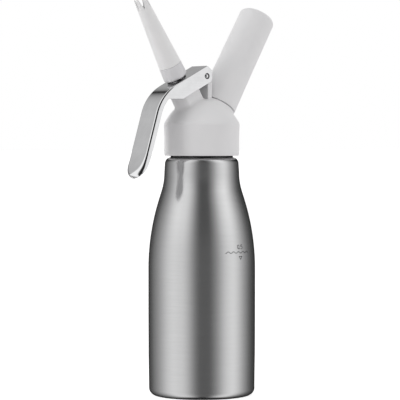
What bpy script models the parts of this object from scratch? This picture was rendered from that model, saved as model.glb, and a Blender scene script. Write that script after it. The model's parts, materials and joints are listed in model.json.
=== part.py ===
"""Whipped cream dispenser: a steel bottle, and a white head with a squeeze lever, a tip and a charger holder.

Metres, +Z up. The origin is the centre of the bottle's flat base, and XZ is the plane of symmetry. The tip
and the lever are on the -X side, and the charger holder is on the +X side. Pieces on the valve's axis are
placed by their height along that axis from its foot on the bottle's axis, and pieces on the charger's axis
likewise.
"""

import math

import bmesh
import bpy
from mathutils import Vector

MM = 0.001
RIGHT_ANGLE = math.radians(90.0)

# Clearances and cutters
GAP = 0.3 * MM
THREAD_GAP = 0.4 * MM
NECK_THREAD_GAP = 0.6 * MM
OVERRUN = 3.0 * MM

# How finely round pieces are turned
BOTTLE_STEPS = 32
HEAD_STEPS = 26
HOLDER_STEPS = 20
SMALL_STEPS = 16
ARC_STEP = math.radians(22.5)
SHOULDER_STEP = math.radians(3.5)
THREAD_STEPS = 16
WELD = 0.01 * MM

# Bottle
BOTTLE_RADIUS = 40.0 * MM
BOTTLE_WALL = 1.0 * MM
BASE_CORNER_RADIUS = 7.0 * MM
BASE_DRAFT = 0.5 * MM
BASE_DRAFT_HEIGHT = 26.0 * MM
STRAIGHT_HEIGHT = 95.0 * MM
SHOULDER_ANGLE = math.radians(17.2)
SHOULDER_RADIUS = 172.0 * MM
SHOULDER_STRAIGHT = 7.3 * MM
WAIST_RADIUS = 47.0 * MM
LEDGE_STRAIGHT = 7.6 * MM
LEDGE_RADIUS = 3.7 * MM
NECK_RADIUS = 23.4 * MM
NECK_HEIGHT = 15.0 * MM
NECK_THREAD_PITCH = 4.0 * MM
NECK_THREAD_TURNS = 2.0
NECK_THREAD_WIRE = 0.9 * MM
NECK_THREAD_RISE = 4.0 * MM

# Gasket between the rim and the head
GASKET_HEIGHT = 2.4 * MM
GASKET_WIDTH = 3.4 * MM

# Head's collar and dome
COLLAR_LIFT = 1.2 * MM
COLLAR_HEIGHT = 23.8 * MM
COLLAR_TOP_RADIUS = 28.5 * MM
COLLAR_WAIST_RADIUS = 28.05 * MM
COLLAR_FOOT_RADIUS = 28.3 * MM
COLLAR_LIP_HEIGHT = 1.6 * MM
COLLAR_LIP_STEP = 0.35 * MM
DOME_RADIUS = 53.0 * MM
DOME_START = math.radians(27.8)
DOME_HEIGHT = 18.5 * MM
CAVITY_RADIUS = 21.0 * MM
CAVITY_WALL_HEIGHT = 4.5 * MM
CAVITY_ROOF_HEIGHT = 10.5 * MM

# Valve's axis and the boss that it runs in
VALVE_FOOT_DROP = 8.2 * MM
VALVE_TILT = math.radians(29.3)
VALVE_BOSS_RADIUS = 9.9 * MM
VALVE_BOSS_BACK = 9.1 * MM
VALVE_BOSS_FOOT = 14.0 * MM
SEAT_HEIGHT = 20.0 * MM
SEAT_POCKET_RADIUS = 7.2 * MM
VALVE_BORE_RADIUS = 5.4 * MM
GUIDE_BORE_RADIUS = 7.5 * MM
VALVE_BORE_LENGTH = 4.5 * MM

# Valve spindle and what is on it
STEM_RADIUS = 3.6 * MM
STEM_BORE_RADIUS = 1.9 * MM
STEM_BORE_LIFT = 0.9 * MM
STEM_IN_ADAPTOR = 6.4 * MM
STEM_PORT_RADIUS = 1.3 * MM
STEM_PORT_LIFT = 2.6 * MM
FOOT_DISC_RADIUS = 6.0 * MM
FOOT_DISC_HEIGHT = 2.0 * MM
VALVE_SEAL_RADIUS = 6.4 * MM
VALVE_SEAL_HEIGHT = 3.0 * MM
GUIDE_SEAL_HEIGHT = 2.0 * MM
GUIDE_HEIGHT = 3.9 * MM
SPRING_RADIUS = 5.9 * MM
SPRING_WIRE = 0.5 * MM
SPRING_TURNS = 4.5
SPRING_STEPS = 10
PUSH_COLLAR_RADIUS = 8.0 * MM
PUSH_COLLAR_HEIGHT = 2.7 * MM
PUSH_COLLAR_CROWN = 0.9 * MM
PUSH_GAP = 0.4 * MM
VALVE_TRAVEL = 3.0 * MM

# Adaptor and decorating tip
ADAPTOR_LIFT = 2.7 * MM
ADAPTOR_HEIGHT = 9.7 * MM
ADAPTOR_FOOT_RADIUS = 8.95 * MM
ADAPTOR_TOP_RADIUS = 8.65 * MM
ADAPTOR_CHAMFER = 0.6 * MM
ADAPTOR_FLAT_DEPTH = 0.45 * MM
ADAPTOR_FLATS = 6
STUB_RADIUS = 5.9 * MM
STUB_HEIGHT = 6.6 * MM
STUB_BORE_RADIUS = 2.3 * MM
STEM_WASHER_HEIGHT = 1.0 * MM
TIP_THREAD_PITCH = 2.5 * MM
TIP_THREAD_TURNS = 1.5
TIP_THREAD_WIRE = 0.5 * MM
TIP_THREAD_RISE = 2.0 * MM
TIP_SEAL_HEIGHT = 1.1 * MM
TIP_SEAL_WIDTH = 0.8 * MM
TIP_LENGTH = 55.9 * MM
TIP_FOOT_RADIUS = 8.55 * MM
TIP_END_RADIUS = 4.7 * MM
TIP_WALL = 1.3 * MM
TIP_SOCKET_HEIGHT = 8.6 * MM
TIP_PRONGS = 6
TIP_NOTCH_DEPTH = 9.0 * MM
TIP_NOTCH_WIDTH = 3.9 * MM

# Lever, along its top face from the hinge pin
PIN_X = -2.75 * MM
PIN_RISE = 35.6 * MM
PIN_RADIUS = 1.95 * MM
PIN_BORE_RADIUS = 1.0 * MM
PIN_PROUD = 0.2 * MM
LEVER_TILT = math.radians(27.3)
LEVER_WIDTH = 21.4 * MM
LEVER_WALL = 1.4 * MM
LEVER_CORNER = 1.6 * MM
LEVER_RISE = 6.7 * MM
LEVER_BACK = 6.6 * MM
CHEEK_HEIGHT = 12.1 * MM
CHEEK_FOOT_DROP = 17.3 * MM
CHEEK_BACK = 4.6 * MM
CHEEK_BACK_RISE = 4.5 * MM
CHEEK_BACK_DROP = 2.6 * MM
PLATE_BACK = 4.0 * MM
BEND_CORNER = 43.2 * MM
BEND_RADIUS = 33.0 * MM
BEND_ANGLE = math.radians(46.1)
HANDLE_DEPTH = 4.5 * MM
HANDLE_STRAIGHT = 30.4 * MM
FLARE_RADIUS = 52.0 * MM
FLARE_LENGTH = 19.0 * MM
TIP_ROUND_LENGTH = 10.0 * MM
TIP_CORNER = 3.4 * MM
STEM_HOLE_WIDTH = 7.0 * MM
STEM_HOLE_LENGTH = 7.8 * MM
CORNER_STEPS = 3
BEND_STEPS = 8
FLARE_STEPS = 5
TIP_STEPS = 7

# Hinge post on the head
POST_BACK = 3.0 * MM
POST_THICKNESS = 3.75 * MM
POST_EYE_RADIUS = 4.4 * MM

# Charger's axis, its boss and the threaded socket
CHARGER_FOOT_DROP = 10.5 * MM
CHARGER_TILT = math.radians(29.7)
CHARGER_BOSS_RADIUS = 14.0 * MM
CHARGER_BOSS_FOOT = 8.0 * MM
CHARGER_BOSS_TOP = 28.15 * MM
GAS_HOLE_LENGTH = 2.4 * MM
VALVE_FACE_RADIUS = 6.2 * MM
GAS_HOLE_RADIUS = 2.3 * MM
SOCKET_SHANK_LENGTH = 4.15 * MM
SOCKET_SHANK_RADIUS = 8.0 * MM
SOCKET_RADIUS = 9.6 * MM
SOCKET_SEAT_LIFT = 5.5 * MM
SOCKET_CUP_DEPTH = 9.75 * MM
SOCKET_GAS_RADIUS = 1.5 * MM
SOCKET_NECK_RADIUS = 5.1 * MM
SOCKET_WASHER_HEIGHT = 0.9 * MM
SOCKET_THREAD_PITCH = 3.0 * MM
SOCKET_THREAD_TURNS = 3.0
SOCKET_THREAD_WIRE = 0.65 * MM
SOCKET_THREAD_RISE = 1.6 * MM
PIERCER_RADIUS = 3.4 * MM
PIERCER_BASE_HEIGHT = 1.6 * MM
PIERCER_NEEDLE_RADIUS = 1.1 * MM
PIERCER_BORE_RADIUS = 0.5 * MM
PIERCER_HEIGHT = 7.0 * MM
CHARGER_SEAL_HEIGHT = 2.3 * MM
CHARGER_SEAL_BORE = 2.4 * MM
UMBRELLA_RADIUS = 5.4 * MM
UMBRELLA_HEIGHT = 1.9 * MM
UMBRELLA_EDGE = 0.9 * MM

# Gas charger and its holder
CHARGER_RADIUS = 9.1 * MM
CHARGER_LENGTH = 65.5 * MM
CHARGER_NECK_RADIUS = 4.3 * MM
CHARGER_NECK_LENGTH = 8.4 * MM
CHARGER_SHOULDER_LENGTH = 8.0 * MM
CHARGER_WALL = 1.3 * MM
CHARGER_HOLE_RADIUS = 1.7 * MM
CHARGER_END_RADIUS = 7.0 * MM
HOLDER_FOOT_RADIUS = 14.5 * MM
HOLDER_MIDDLE_RADIUS = 13.95 * MM
HOLDER_TOP_RADIUS = 13.75 * MM
HOLDER_END_RADIUS = 4.6 * MM
HOLDER_CROWN = 1.2 * MM
HOLDER_ROOF = 3.5 * MM
HOLDER_BORE_RADIUS = 9.6 * MM
HOLDER_THREAD_OVER = 1.75 * MM
HOLDER_CHAMFER = 0.5 * MM
SPOT_FACE_CLEARANCE = 0.6 * MM

# Heights and places that follow from the sizes above
SHOULDER_RISE = SHOULDER_RADIUS * math.sin(SHOULDER_ANGLE)
SHOULDER_DROP = SHOULDER_RADIUS * (1 - math.cos(SHOULDER_ANGLE))
WAIST_RISE = WAIST_RADIUS * math.sin(SHOULDER_ANGLE)
WAIST_DROP = WAIST_RADIUS * (1 - math.cos(SHOULDER_ANGLE))
WAIST_START = STRAIGHT_HEIGHT + SHOULDER_RISE + SHOULDER_STRAIGHT * math.cos(SHOULDER_ANGLE)
LEDGE_OUTER = BOTTLE_RADIUS - SHOULDER_DROP - SHOULDER_STRAIGHT * math.sin(SHOULDER_ANGLE) - WAIST_DROP
LEDGE_Z = WAIST_START + WAIST_RISE + LEDGE_STRAIGHT + LEDGE_RADIUS
RIM_Z = LEDGE_Z + NECK_HEIGHT
COLLAR_FOOT_Z = LEDGE_Z + COLLAR_LIFT
COLLAR_TOP_Z = COLLAR_FOOT_Z + COLLAR_HEIGHT
VALVE_FOOT = COLLAR_TOP_Z - VALVE_FOOT_DROP
CHARGER_FOOT = COLLAR_TOP_Z - CHARGER_FOOT_DROP
PIN_Z = COLLAR_TOP_Z + PIN_RISE
GASKET_Z = RIM_Z + GAP
GASKET_SEAT_Z = GASKET_Z + GASKET_HEIGHT + GAP
COLLAR_BORE_RADIUS = NECK_RADIUS + THREAD_GAP
ROOF_FOOT_Z = GASKET_SEAT_Z + CAVITY_WALL_HEIGHT
INNER_HALF_WIDTH = LEVER_WIDTH / 2 - LEVER_WALL
HINGE_HALF_WIDTH = INNER_HALF_WIDTH - GAP
STEM_CLEAR_RADIUS = STEM_RADIUS + GAP
GUIDE_RADIUS = GUIDE_BORE_RADIUS - GAP
PIN_VALVE_HEIGHT = (PIN_Z - VALVE_FOOT) * math.cos(VALVE_TILT) - PIN_X * math.sin(VALVE_TILT)
PIN_VALVE_OFFSET = (PIN_Z - VALVE_FOOT) * math.sin(VALVE_TILT) + PIN_X * math.cos(VALVE_TILT)
PLATE_SLOPE = VALVE_TILT - LEVER_TILT
PLATE_BASE = PIN_VALVE_HEIGHT + math.tan(PLATE_SLOPE) * PIN_VALVE_OFFSET
PLATE_TOP = PLATE_BASE + LEVER_RISE / math.cos(PLATE_SLOPE)
PLATE_UNDERSIDE = PLATE_BASE + (LEVER_RISE - LEVER_WALL) / math.cos(PLATE_SLOPE)
PUSH_COLLAR_TOP = PLATE_UNDERSIDE - PUSH_GAP
PUSH_COLLAR_FOOT = PUSH_COLLAR_TOP - PUSH_COLLAR_HEIGHT
VALVE_BOSS_TOP = PUSH_COLLAR_FOOT - VALVE_TRAVEL - GAP
GUIDE_BORE_FOOT = SEAT_HEIGHT + VALVE_BORE_LENGTH
GUIDE_SEAL_FOOT = GUIDE_BORE_FOOT + GAP
GUIDE_FOOT = GUIDE_SEAL_FOOT + GUIDE_SEAL_HEIGHT + GAP
SPRING_FOOT = GUIDE_FOOT + GUIDE_HEIGHT + GAP
VALVE_SEAL_FOOT = SEAT_HEIGHT - GAP - VALVE_SEAL_HEIGHT
FOOT_DISC_TOP = VALVE_SEAL_FOOT - GAP
ADAPTOR_FOOT = PLATE_TOP + ADAPTOR_LIFT
ADAPTOR_TOP = ADAPTOR_FOOT + ADAPTOR_HEIGHT
STEM_TOP = ADAPTOR_FOOT + STEM_IN_ADAPTOR
WASHER_FOOT = STEM_TOP + GAP
WASHER_SEAT = WASHER_FOOT + STEM_WASHER_HEIGHT + GAP
TIP_FOOT = ADAPTOR_TOP + GAP
TIP_TOP = TIP_FOOT + TIP_LENGTH
TIP_SEAL_RADIUS = STUB_RADIUS + TIP_THREAD_WIRE + GAP + TIP_SEAL_WIDTH
SOCKET_BORE_FOOT = CHARGER_BOSS_TOP - SOCKET_SHANK_LENGTH
VALVE_FACE_HEIGHT = SOCKET_BORE_FOOT - GAS_HOLE_LENGTH
SOCKET_SHOULDER = CHARGER_BOSS_TOP + GAP + SOCKET_WASHER_HEIGHT + GAP
SOCKET_SEAT = SOCKET_SHOULDER + SOCKET_SEAT_LIFT
SOCKET_TOP = SOCKET_SEAT + SOCKET_CUP_DEPTH
PIERCER_FOOT = SOCKET_SEAT + GAP
CHARGER_SEAL_FOOT = PIERCER_FOOT + PIERCER_BASE_HEIGHT + GAP
CHARGER_NECK_END = CHARGER_SEAL_FOOT + CHARGER_SEAL_HEIGHT + GAP
HOLDER_FOOT = CHARGER_BOSS_TOP + GAP
HOLDER_THREAD_RADIUS = SOCKET_RADIUS + THREAD_GAP
HOLDER_ROOF_FOOT = CHARGER_NECK_END + CHARGER_LENGTH + GAP
HOLDER_TOP = HOLDER_ROOF_FOOT + HOLDER_ROOF

# Colour, roughness and metallic value of each finish
BRUSHED_STEEL = ((0.52, 0.52, 0.53, 1.0), 0.30, 1.0)
POLISHED_STEEL = ((0.68, 0.68, 0.69, 1.0), 0.20, 1.0)
WHITE_PLASTIC = ((0.86, 0.86, 0.87, 1.0), 0.45, 0.0)
GREY_PLASTIC = ((0.55, 0.56, 0.58, 1.0), 0.50, 0.0)
CLEAR_RUBBER = ((0.80, 0.78, 0.74, 1.0), 0.60, 0.0)
RED_RUBBER = ((0.55, 0.06, 0.05, 1.0), 0.60, 0.0)


def clear_scene():
    for obj in list(bpy.data.objects):
        bpy.data.objects.remove(obj, do_unlink=True)


def new_collection(name):
    collection = bpy.data.collections.new(name)
    bpy.context.scene.collection.children.link(collection)
    return collection


def finish_of(name, finish):
    colour, roughness, metallic = finish
    material = bpy.data.materials.new(name)
    material.use_nodes = True
    shader = material.node_tree.nodes["Principled BSDF"]
    shader.inputs["Base Color"].default_value = colour
    shader.inputs["Roughness"].default_value = roughness
    shader.inputs["Metallic"].default_value = metallic
    material.diffuse_color = colour
    return material


def axis_empty(name, height, tilt):
    """An empty whose Z runs along an axis that leaves the bottle's axis at a height, tilted towards +X."""
    empty = bpy.data.objects.new(name, None)
    empty.location = (0, 0, height)
    empty.rotation_euler = (0, tilt, 0)
    PARTS.objects.link(empty)
    return empty


def arc(centre_r, centre_z, radius, start, end, step=ARC_STEP, squash=1.0):
    """Points of an arc in the (r, z) plane, its angles counted from +r towards +z and its height squashed."""
    count = max(2, math.ceil(abs(end - start) / step))
    angles = [start + (end - start) * i / count for i in range(count + 1)]
    return [(centre_r + radius * math.cos(a), centre_z + squash * radius * math.sin(a)) for a in angles]


def ring_outline(inner, outer, low, high):
    return [(inner, high), (outer, high), (outer, low), (inner, low)]


def linked(name, mesh, parent, collection):
    obj = bpy.data.objects.new(name, mesh)
    obj.parent = parent
    collection.objects.link(obj)
    return obj


def finished(obj, finish):
    obj.data.materials.append(finish_of(obj.name + "_finish", finish))
    return obj


def turned(name, outline, steps, parent=None, ring=False, collection=None):
    """An outline of (r, z) points, which runs down its outer side, turned about Z with a Screw modifier."""
    count = len(outline)
    edges = [(i, i + 1) for i in range(count - 1)] + ([(count - 1, 0)] if ring else [])
    mesh = bpy.data.meshes.new(name)
    mesh.from_pydata([(r, 0, z) for r, z in outline], edges, [])
    obj = linked(name, mesh, parent, collection or PARTS)
    screw = obj.modifiers.new("Turned", "SCREW")
    screw.steps = steps
    screw.render_steps = steps
    screw.use_merge_vertices = True
    screw.merge_threshold = WELD
    return obj


def turned_ring(name, outline, steps, parent=None, collection=None):
    return turned(name, outline, steps, parent, True, collection)


def as_cutter(obj):
    if obj.name not in CUTTERS.objects:
        PARTS.objects.unlink(obj)
        CUTTERS.objects.link(obj)
    obj.hide_render = True
    obj.display_type = "WIRE"
    return obj


def boolean(target, tool, operation="DIFFERENCE"):
    as_cutter(tool)
    modifier = target.modifiers.new(tool.name, "BOOLEAN")
    modifier.operation = operation
    modifier.solver = "EXACT"
    modifier.object = tool


def prism(name, radius, low, high, sides, parent, scale_y=1.0, turn=0.0):
    """A straight cylinder or prism along Z, from low to high."""
    mesh = bpy.data.meshes.new(name)
    work = bmesh.new()
    bmesh.ops.create_cone(
        work, cap_ends=True, segments=sides, radius1=radius, radius2=radius, depth=high - low
    )
    work.to_mesh(mesh)
    work.free()
    obj = linked(name, mesh, parent, PARTS)
    obj.location = (0, 0, (low + high) / 2)
    obj.rotation_euler = (0, 0, turn)
    obj.scale = (1, scale_y, 1)
    return obj


def cross_cylinder(name, radius, half_length, centre_x, centre_z):
    """A cylinder along Y, centred on the plane of symmetry."""
    obj = prism(name, radius, -half_length, half_length, SMALL_STEPS, None)
    obj.location = (centre_x, 0, centre_z)
    obj.rotation_euler = (RIGHT_ANGLE, 0, 0)
    return obj


def box(name, size, centre, parent=None):
    mesh = bpy.data.meshes.new(name)
    work = bmesh.new()
    bmesh.ops.create_cube(work, size=1.0)
    bmesh.ops.scale(work, vec=size, verts=work.verts)
    work.to_mesh(mesh)
    work.free()
    obj = linked(name, mesh, parent, PARTS)
    obj.location = centre
    return obj


def meshed(curve_object):
    """The mesh of a curve object, its loose caps welded, in the curve's place and under its name."""
    name = curve_object.name
    bpy.context.view_layer.update()
    graph = bpy.context.evaluated_depsgraph_get()
    mesh = bpy.data.meshes.new_from_object(curve_object.evaluated_get(graph))
    work = bmesh.new()
    work.from_mesh(mesh)
    bmesh.ops.remove_doubles(work, verts=work.verts, dist=WELD)
    bmesh.ops.recalc_face_normals(work, faces=work.faces)
    work.to_mesh(mesh)
    work.free()
    parent, matrix = curve_object.parent, curve_object.matrix_world.copy()
    bpy.data.objects.remove(curve_object, do_unlink=True)
    obj = linked(name, mesh, parent, PARTS)
    obj.matrix_world = matrix
    return obj


def tube(name, points, radius, resolution, parent):
    curve = bpy.data.curves.new(name, "CURVE")
    curve.dimensions = "3D"
    curve.bevel_depth = radius
    curve.bevel_resolution = resolution
    curve.twist_mode = "Z_UP"
    curve.use_fill_caps = True
    spline = curve.splines.new("POLY")
    spline.points.add(len(points) - 1)
    for point, place in zip(spline.points, points):
        point.co = (*place, 1)
    return meshed(linked(name, curve, parent, PARTS))


def plate(name, outline, half_thickness, parent=None):
    """A flat outline in the XZ plane, standing half_thickness to each side of it."""
    curve = bpy.data.curves.new(name, "CURVE")
    curve.dimensions = "2D"
    curve.fill_mode = "BOTH"
    curve.extrude = half_thickness
    spline = curve.splines.new("POLY")
    spline.points.add(len(outline) - 1)
    for point, (x, z) in zip(spline.points, outline):
        point.co = (x, z, 0, 1)
    spline.use_cyclic_u = True
    obj = linked(name, curve, parent, PARTS)
    obj.rotation_euler = (RIGHT_ANGLE, 0, 0)
    return meshed(obj)


def helix(radius, pitch, foot, turns, steps):
    """Points of a right-handed helix about Z, with about as many steps a turn as asked."""
    count = math.ceil(turns * steps)
    angles = [2 * math.pi * turns * i / count for i in range(count + 1)]
    return [
        Vector((radius * math.cos(a), radius * math.sin(a), foot + pitch * a / (2 * math.pi))) for a in angles
    ]


def thread(name, radius, pitch, foot, turns, wire, parent=None):
    return tube(name, helix(radius, pitch, foot, turns, THREAD_STEPS), wire, 0, parent)


def groove(name, radius, pitch, foot, turns, wire, gap, mouth, parent=None):
    """A cutter for the groove that a ridge of the same size and place turns in, open at the mouth."""
    run_out = math.ceil((foot - mouth + OVERRUN) / pitch)
    past_end = (wire + gap) / (2 * math.pi * radius)
    points = helix(radius, pitch, foot - run_out * pitch, turns + run_out + past_end, THREAD_STEPS)
    return tube(name, points, wire + gap, 0, parent)


def least_gap(points, wire, steps):
    """The least gap of a wound tube to itself, measured on points at least half a turn apart."""
    return min(
        (points[i] - points[j]).length - 2 * wire
        for i in range(len(points))
        for j in range(i + steps // 2, len(points))
    )


def shoulder_outline():
    """The bottle's outer side, from the hollow under the ledge down to where the body's side is straight."""
    hollow_z = WAIST_START + WAIST_RISE
    waist_end = math.pi + SHOULDER_ANGLE
    waist = arc(LEDGE_OUTER + WAIST_RADIUS, hollow_z, WAIST_RADIUS, math.pi, waist_end)
    centre_r = BOTTLE_RADIUS - SHOULDER_RADIUS
    return waist + arc(centre_r, STRAIGHT_HEIGHT, SHOULDER_RADIUS, SHOULDER_ANGLE, 0, SHOULDER_STEP)


def make_bottle():
    corner_r = BOTTLE_RADIUS - BASE_DRAFT
    outline = [(NECK_RADIUS, RIM_Z), (NECK_RADIUS, LEDGE_Z)]
    outline += arc(LEDGE_OUTER - LEDGE_RADIUS, LEDGE_Z - LEDGE_RADIUS, LEDGE_RADIUS, math.pi / 2, 0)
    outline += shoulder_outline()
    outline += [(BOTTLE_RADIUS, BASE_DRAFT_HEIGHT)]
    outline += arc(corner_r - BASE_CORNER_RADIUS, BASE_CORNER_RADIUS, BASE_CORNER_RADIUS, 0, -math.pi / 2)
    outline += [(0, 0)]
    bottle = turned("bottle", outline, BOTTLE_STEPS)
    shell = bottle.modifiers.new("Wall", "SOLIDIFY")
    shell.thickness = BOTTLE_WALL
    shell.offset = -1
    ridge = thread(
        "neck_ridge",
        NECK_RADIUS,
        NECK_THREAD_PITCH,
        LEDGE_Z + NECK_THREAD_RISE,
        NECK_THREAD_TURNS,
        NECK_THREAD_WIRE,
    )
    boolean(bottle, ridge, "UNION")
    return finished(bottle, BRUSHED_STEEL)


def make_head_gasket():
    ring = ring_outline(NECK_RADIUS - GASKET_WIDTH, NECK_RADIUS, GASKET_Z, GASKET_Z + GASKET_HEIGHT)
    return finished(turned_ring("head_gasket", ring, HEAD_STEPS), RED_RUBBER)


def dome_outline():
    """The head's outside, from the dome's flat top down to the collar's foot."""
    centre_r = COLLAR_TOP_RADIUS - DOME_RADIUS * math.cos(DOME_START)
    centre_z = COLLAR_TOP_Z - DOME_RADIUS * math.sin(DOME_START)
    top = math.asin((COLLAR_TOP_Z + DOME_HEIGHT - centre_z) / DOME_RADIUS)
    lip_z = COLLAR_FOOT_Z + COLLAR_LIP_HEIGHT
    return [
        (0, COLLAR_TOP_Z + DOME_HEIGHT),
        *arc(centre_r, centre_z, DOME_RADIUS, top, DOME_START),
        (COLLAR_WAIST_RADIUS, (COLLAR_TOP_Z + COLLAR_FOOT_Z) / 2),
        (COLLAR_FOOT_RADIUS, lip_z),
        (COLLAR_FOOT_RADIUS - COLLAR_LIP_STEP, lip_z - COLLAR_LIP_STEP),
        (COLLAR_FOOT_RADIUS - COLLAR_LIP_STEP, COLLAR_FOOT_Z),
        (0, COLLAR_FOOT_Z),
    ]


def cavity_outline():
    """The head's hollow: a domed roof, the cavity's wall and the collar's bore."""
    squash = CAVITY_ROOF_HEIGHT / CAVITY_RADIUS
    roof = arc(0, ROOF_FOOT_Z, CAVITY_RADIUS, math.pi / 2, 0, squash=squash)
    return [
        (0, ROOF_FOOT_Z + CAVITY_ROOF_HEIGHT),
        *roof[1:],
        (CAVITY_RADIUS, GASKET_SEAT_Z),
        (COLLAR_BORE_RADIUS, GASKET_SEAT_Z),
        (COLLAR_BORE_RADIUS, COLLAR_FOOT_Z - OVERRUN),
        (0, COLLAR_FOOT_Z - OVERRUN),
    ]


def make_valve_boss(valve_axis):
    """A boss with a round front, and a square back that fits between the lever's cheeks."""
    front = math.asin(HINGE_HALF_WIDTH / VALVE_BOSS_RADIUS)
    outline = arc(0, 0, VALVE_BOSS_RADIUS, math.pi - front, math.pi + front)
    outline += [(VALVE_BOSS_BACK, -HINGE_HALF_WIDTH), (VALVE_BOSS_BACK, HINGE_HALF_WIDTH)]
    boss = plate("valve_boss", outline, (VALVE_BOSS_TOP - VALVE_BOSS_FOOT) / 2)
    boss.parent = valve_axis
    boss.matrix_parent_inverse.identity()
    boss.rotation_euler = (0, 0, 0)
    boss.location = (0, 0, (VALVE_BOSS_TOP + VALVE_BOSS_FOOT) / 2)
    return boss


def add_bosses(head, valve_axis, charger_axis):
    """Joins the valve boss, the charger boss and the hinge post to the dome."""
    boolean(head, make_valve_boss(valve_axis), "UNION")
    boss_top = CHARGER_BOSS_TOP + OVERRUN
    charger_boss = prism(
        "charger_boss", CHARGER_BOSS_RADIUS, CHARGER_BOSS_FOOT, boss_top, HEAD_STEPS, charger_axis
    )
    boolean(head, charger_boss, "UNION")
    post_foot = COLLAR_TOP_Z + DOME_HEIGHT - OVERRUN
    post = box(
        "hinge_post",
        (POST_THICKNESS, 2 * HINGE_HALF_WIDTH, PIN_Z - post_foot),
        (POST_BACK - POST_THICKNESS / 2, 0, (PIN_Z + post_foot) / 2),
    )
    eye = cross_cylinder("hinge_eye", POST_EYE_RADIUS, HINGE_HALF_WIDTH, PIN_X, PIN_Z)
    boolean(post, eye, "UNION")
    boolean(head, post, "UNION")


def valve_bore_outline():
    """The bores along the valve's axis: seat pocket, valve bore and guide bore."""
    return [
        (0, VALVE_BOSS_TOP + OVERRUN),
        (GUIDE_BORE_RADIUS, VALVE_BOSS_TOP + OVERRUN),
        (GUIDE_BORE_RADIUS, GUIDE_BORE_FOOT),
        (VALVE_BORE_RADIUS, GUIDE_BORE_FOOT),
        (VALVE_BORE_RADIUS, SEAT_HEIGHT),
        (SEAT_POCKET_RADIUS, SEAT_HEIGHT),
        (SEAT_POCKET_RADIUS, FOOT_DISC_TOP - FOOT_DISC_HEIGHT),
        (0, FOOT_DISC_TOP - FOOT_DISC_HEIGHT),
    ]


def charger_bore_outline():
    """The bores along the charger's axis: holder spot face, socket bore, gas hole and umbrella face."""
    spot_radius = HOLDER_FOOT_RADIUS + SPOT_FACE_CLEARANCE
    shank_radius = SOCKET_SHANK_RADIUS + GAP
    return [
        (0, HOLDER_TOP),
        (spot_radius, HOLDER_TOP),
        (spot_radius, CHARGER_BOSS_TOP),
        (shank_radius, CHARGER_BOSS_TOP),
        (shank_radius, SOCKET_BORE_FOOT),
        (GAS_HOLE_RADIUS, SOCKET_BORE_FOOT),
        (GAS_HOLE_RADIUS, VALVE_FACE_HEIGHT),
        (VALVE_FACE_RADIUS, VALVE_FACE_HEIGHT),
        (VALVE_FACE_RADIUS, VALVE_FACE_HEIGHT - VALVE_FACE_RADIUS),
        (0, VALVE_FACE_HEIGHT - VALVE_FACE_RADIUS),
    ]


def make_head(valve_axis, charger_axis):
    head = turned("head", dome_outline(), BOTTLE_STEPS)
    add_bosses(head, valve_axis, charger_axis)
    boolean(head, turned("head_cavity", cavity_outline(), BOTTLE_STEPS))
    boolean(head, turned("valve_bores", valve_bore_outline(), SMALL_STEPS, valve_axis))
    boolean(head, turned("charger_bores", charger_bore_outline(), HEAD_STEPS, charger_axis))
    boolean(head, cross_cylinder("post_pin_hole", PIN_RADIUS + GAP, LEVER_WIDTH, PIN_X, PIN_Z))
    neck_groove = groove(
        "neck_groove",
        NECK_RADIUS,
        NECK_THREAD_PITCH,
        LEDGE_Z + NECK_THREAD_RISE,
        NECK_THREAD_TURNS,
        NECK_THREAD_WIRE,
        NECK_THREAD_GAP,
        COLLAR_FOOT_Z,
    )
    boolean(head, neck_groove)
    return finished(head, WHITE_PLASTIC)


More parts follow.
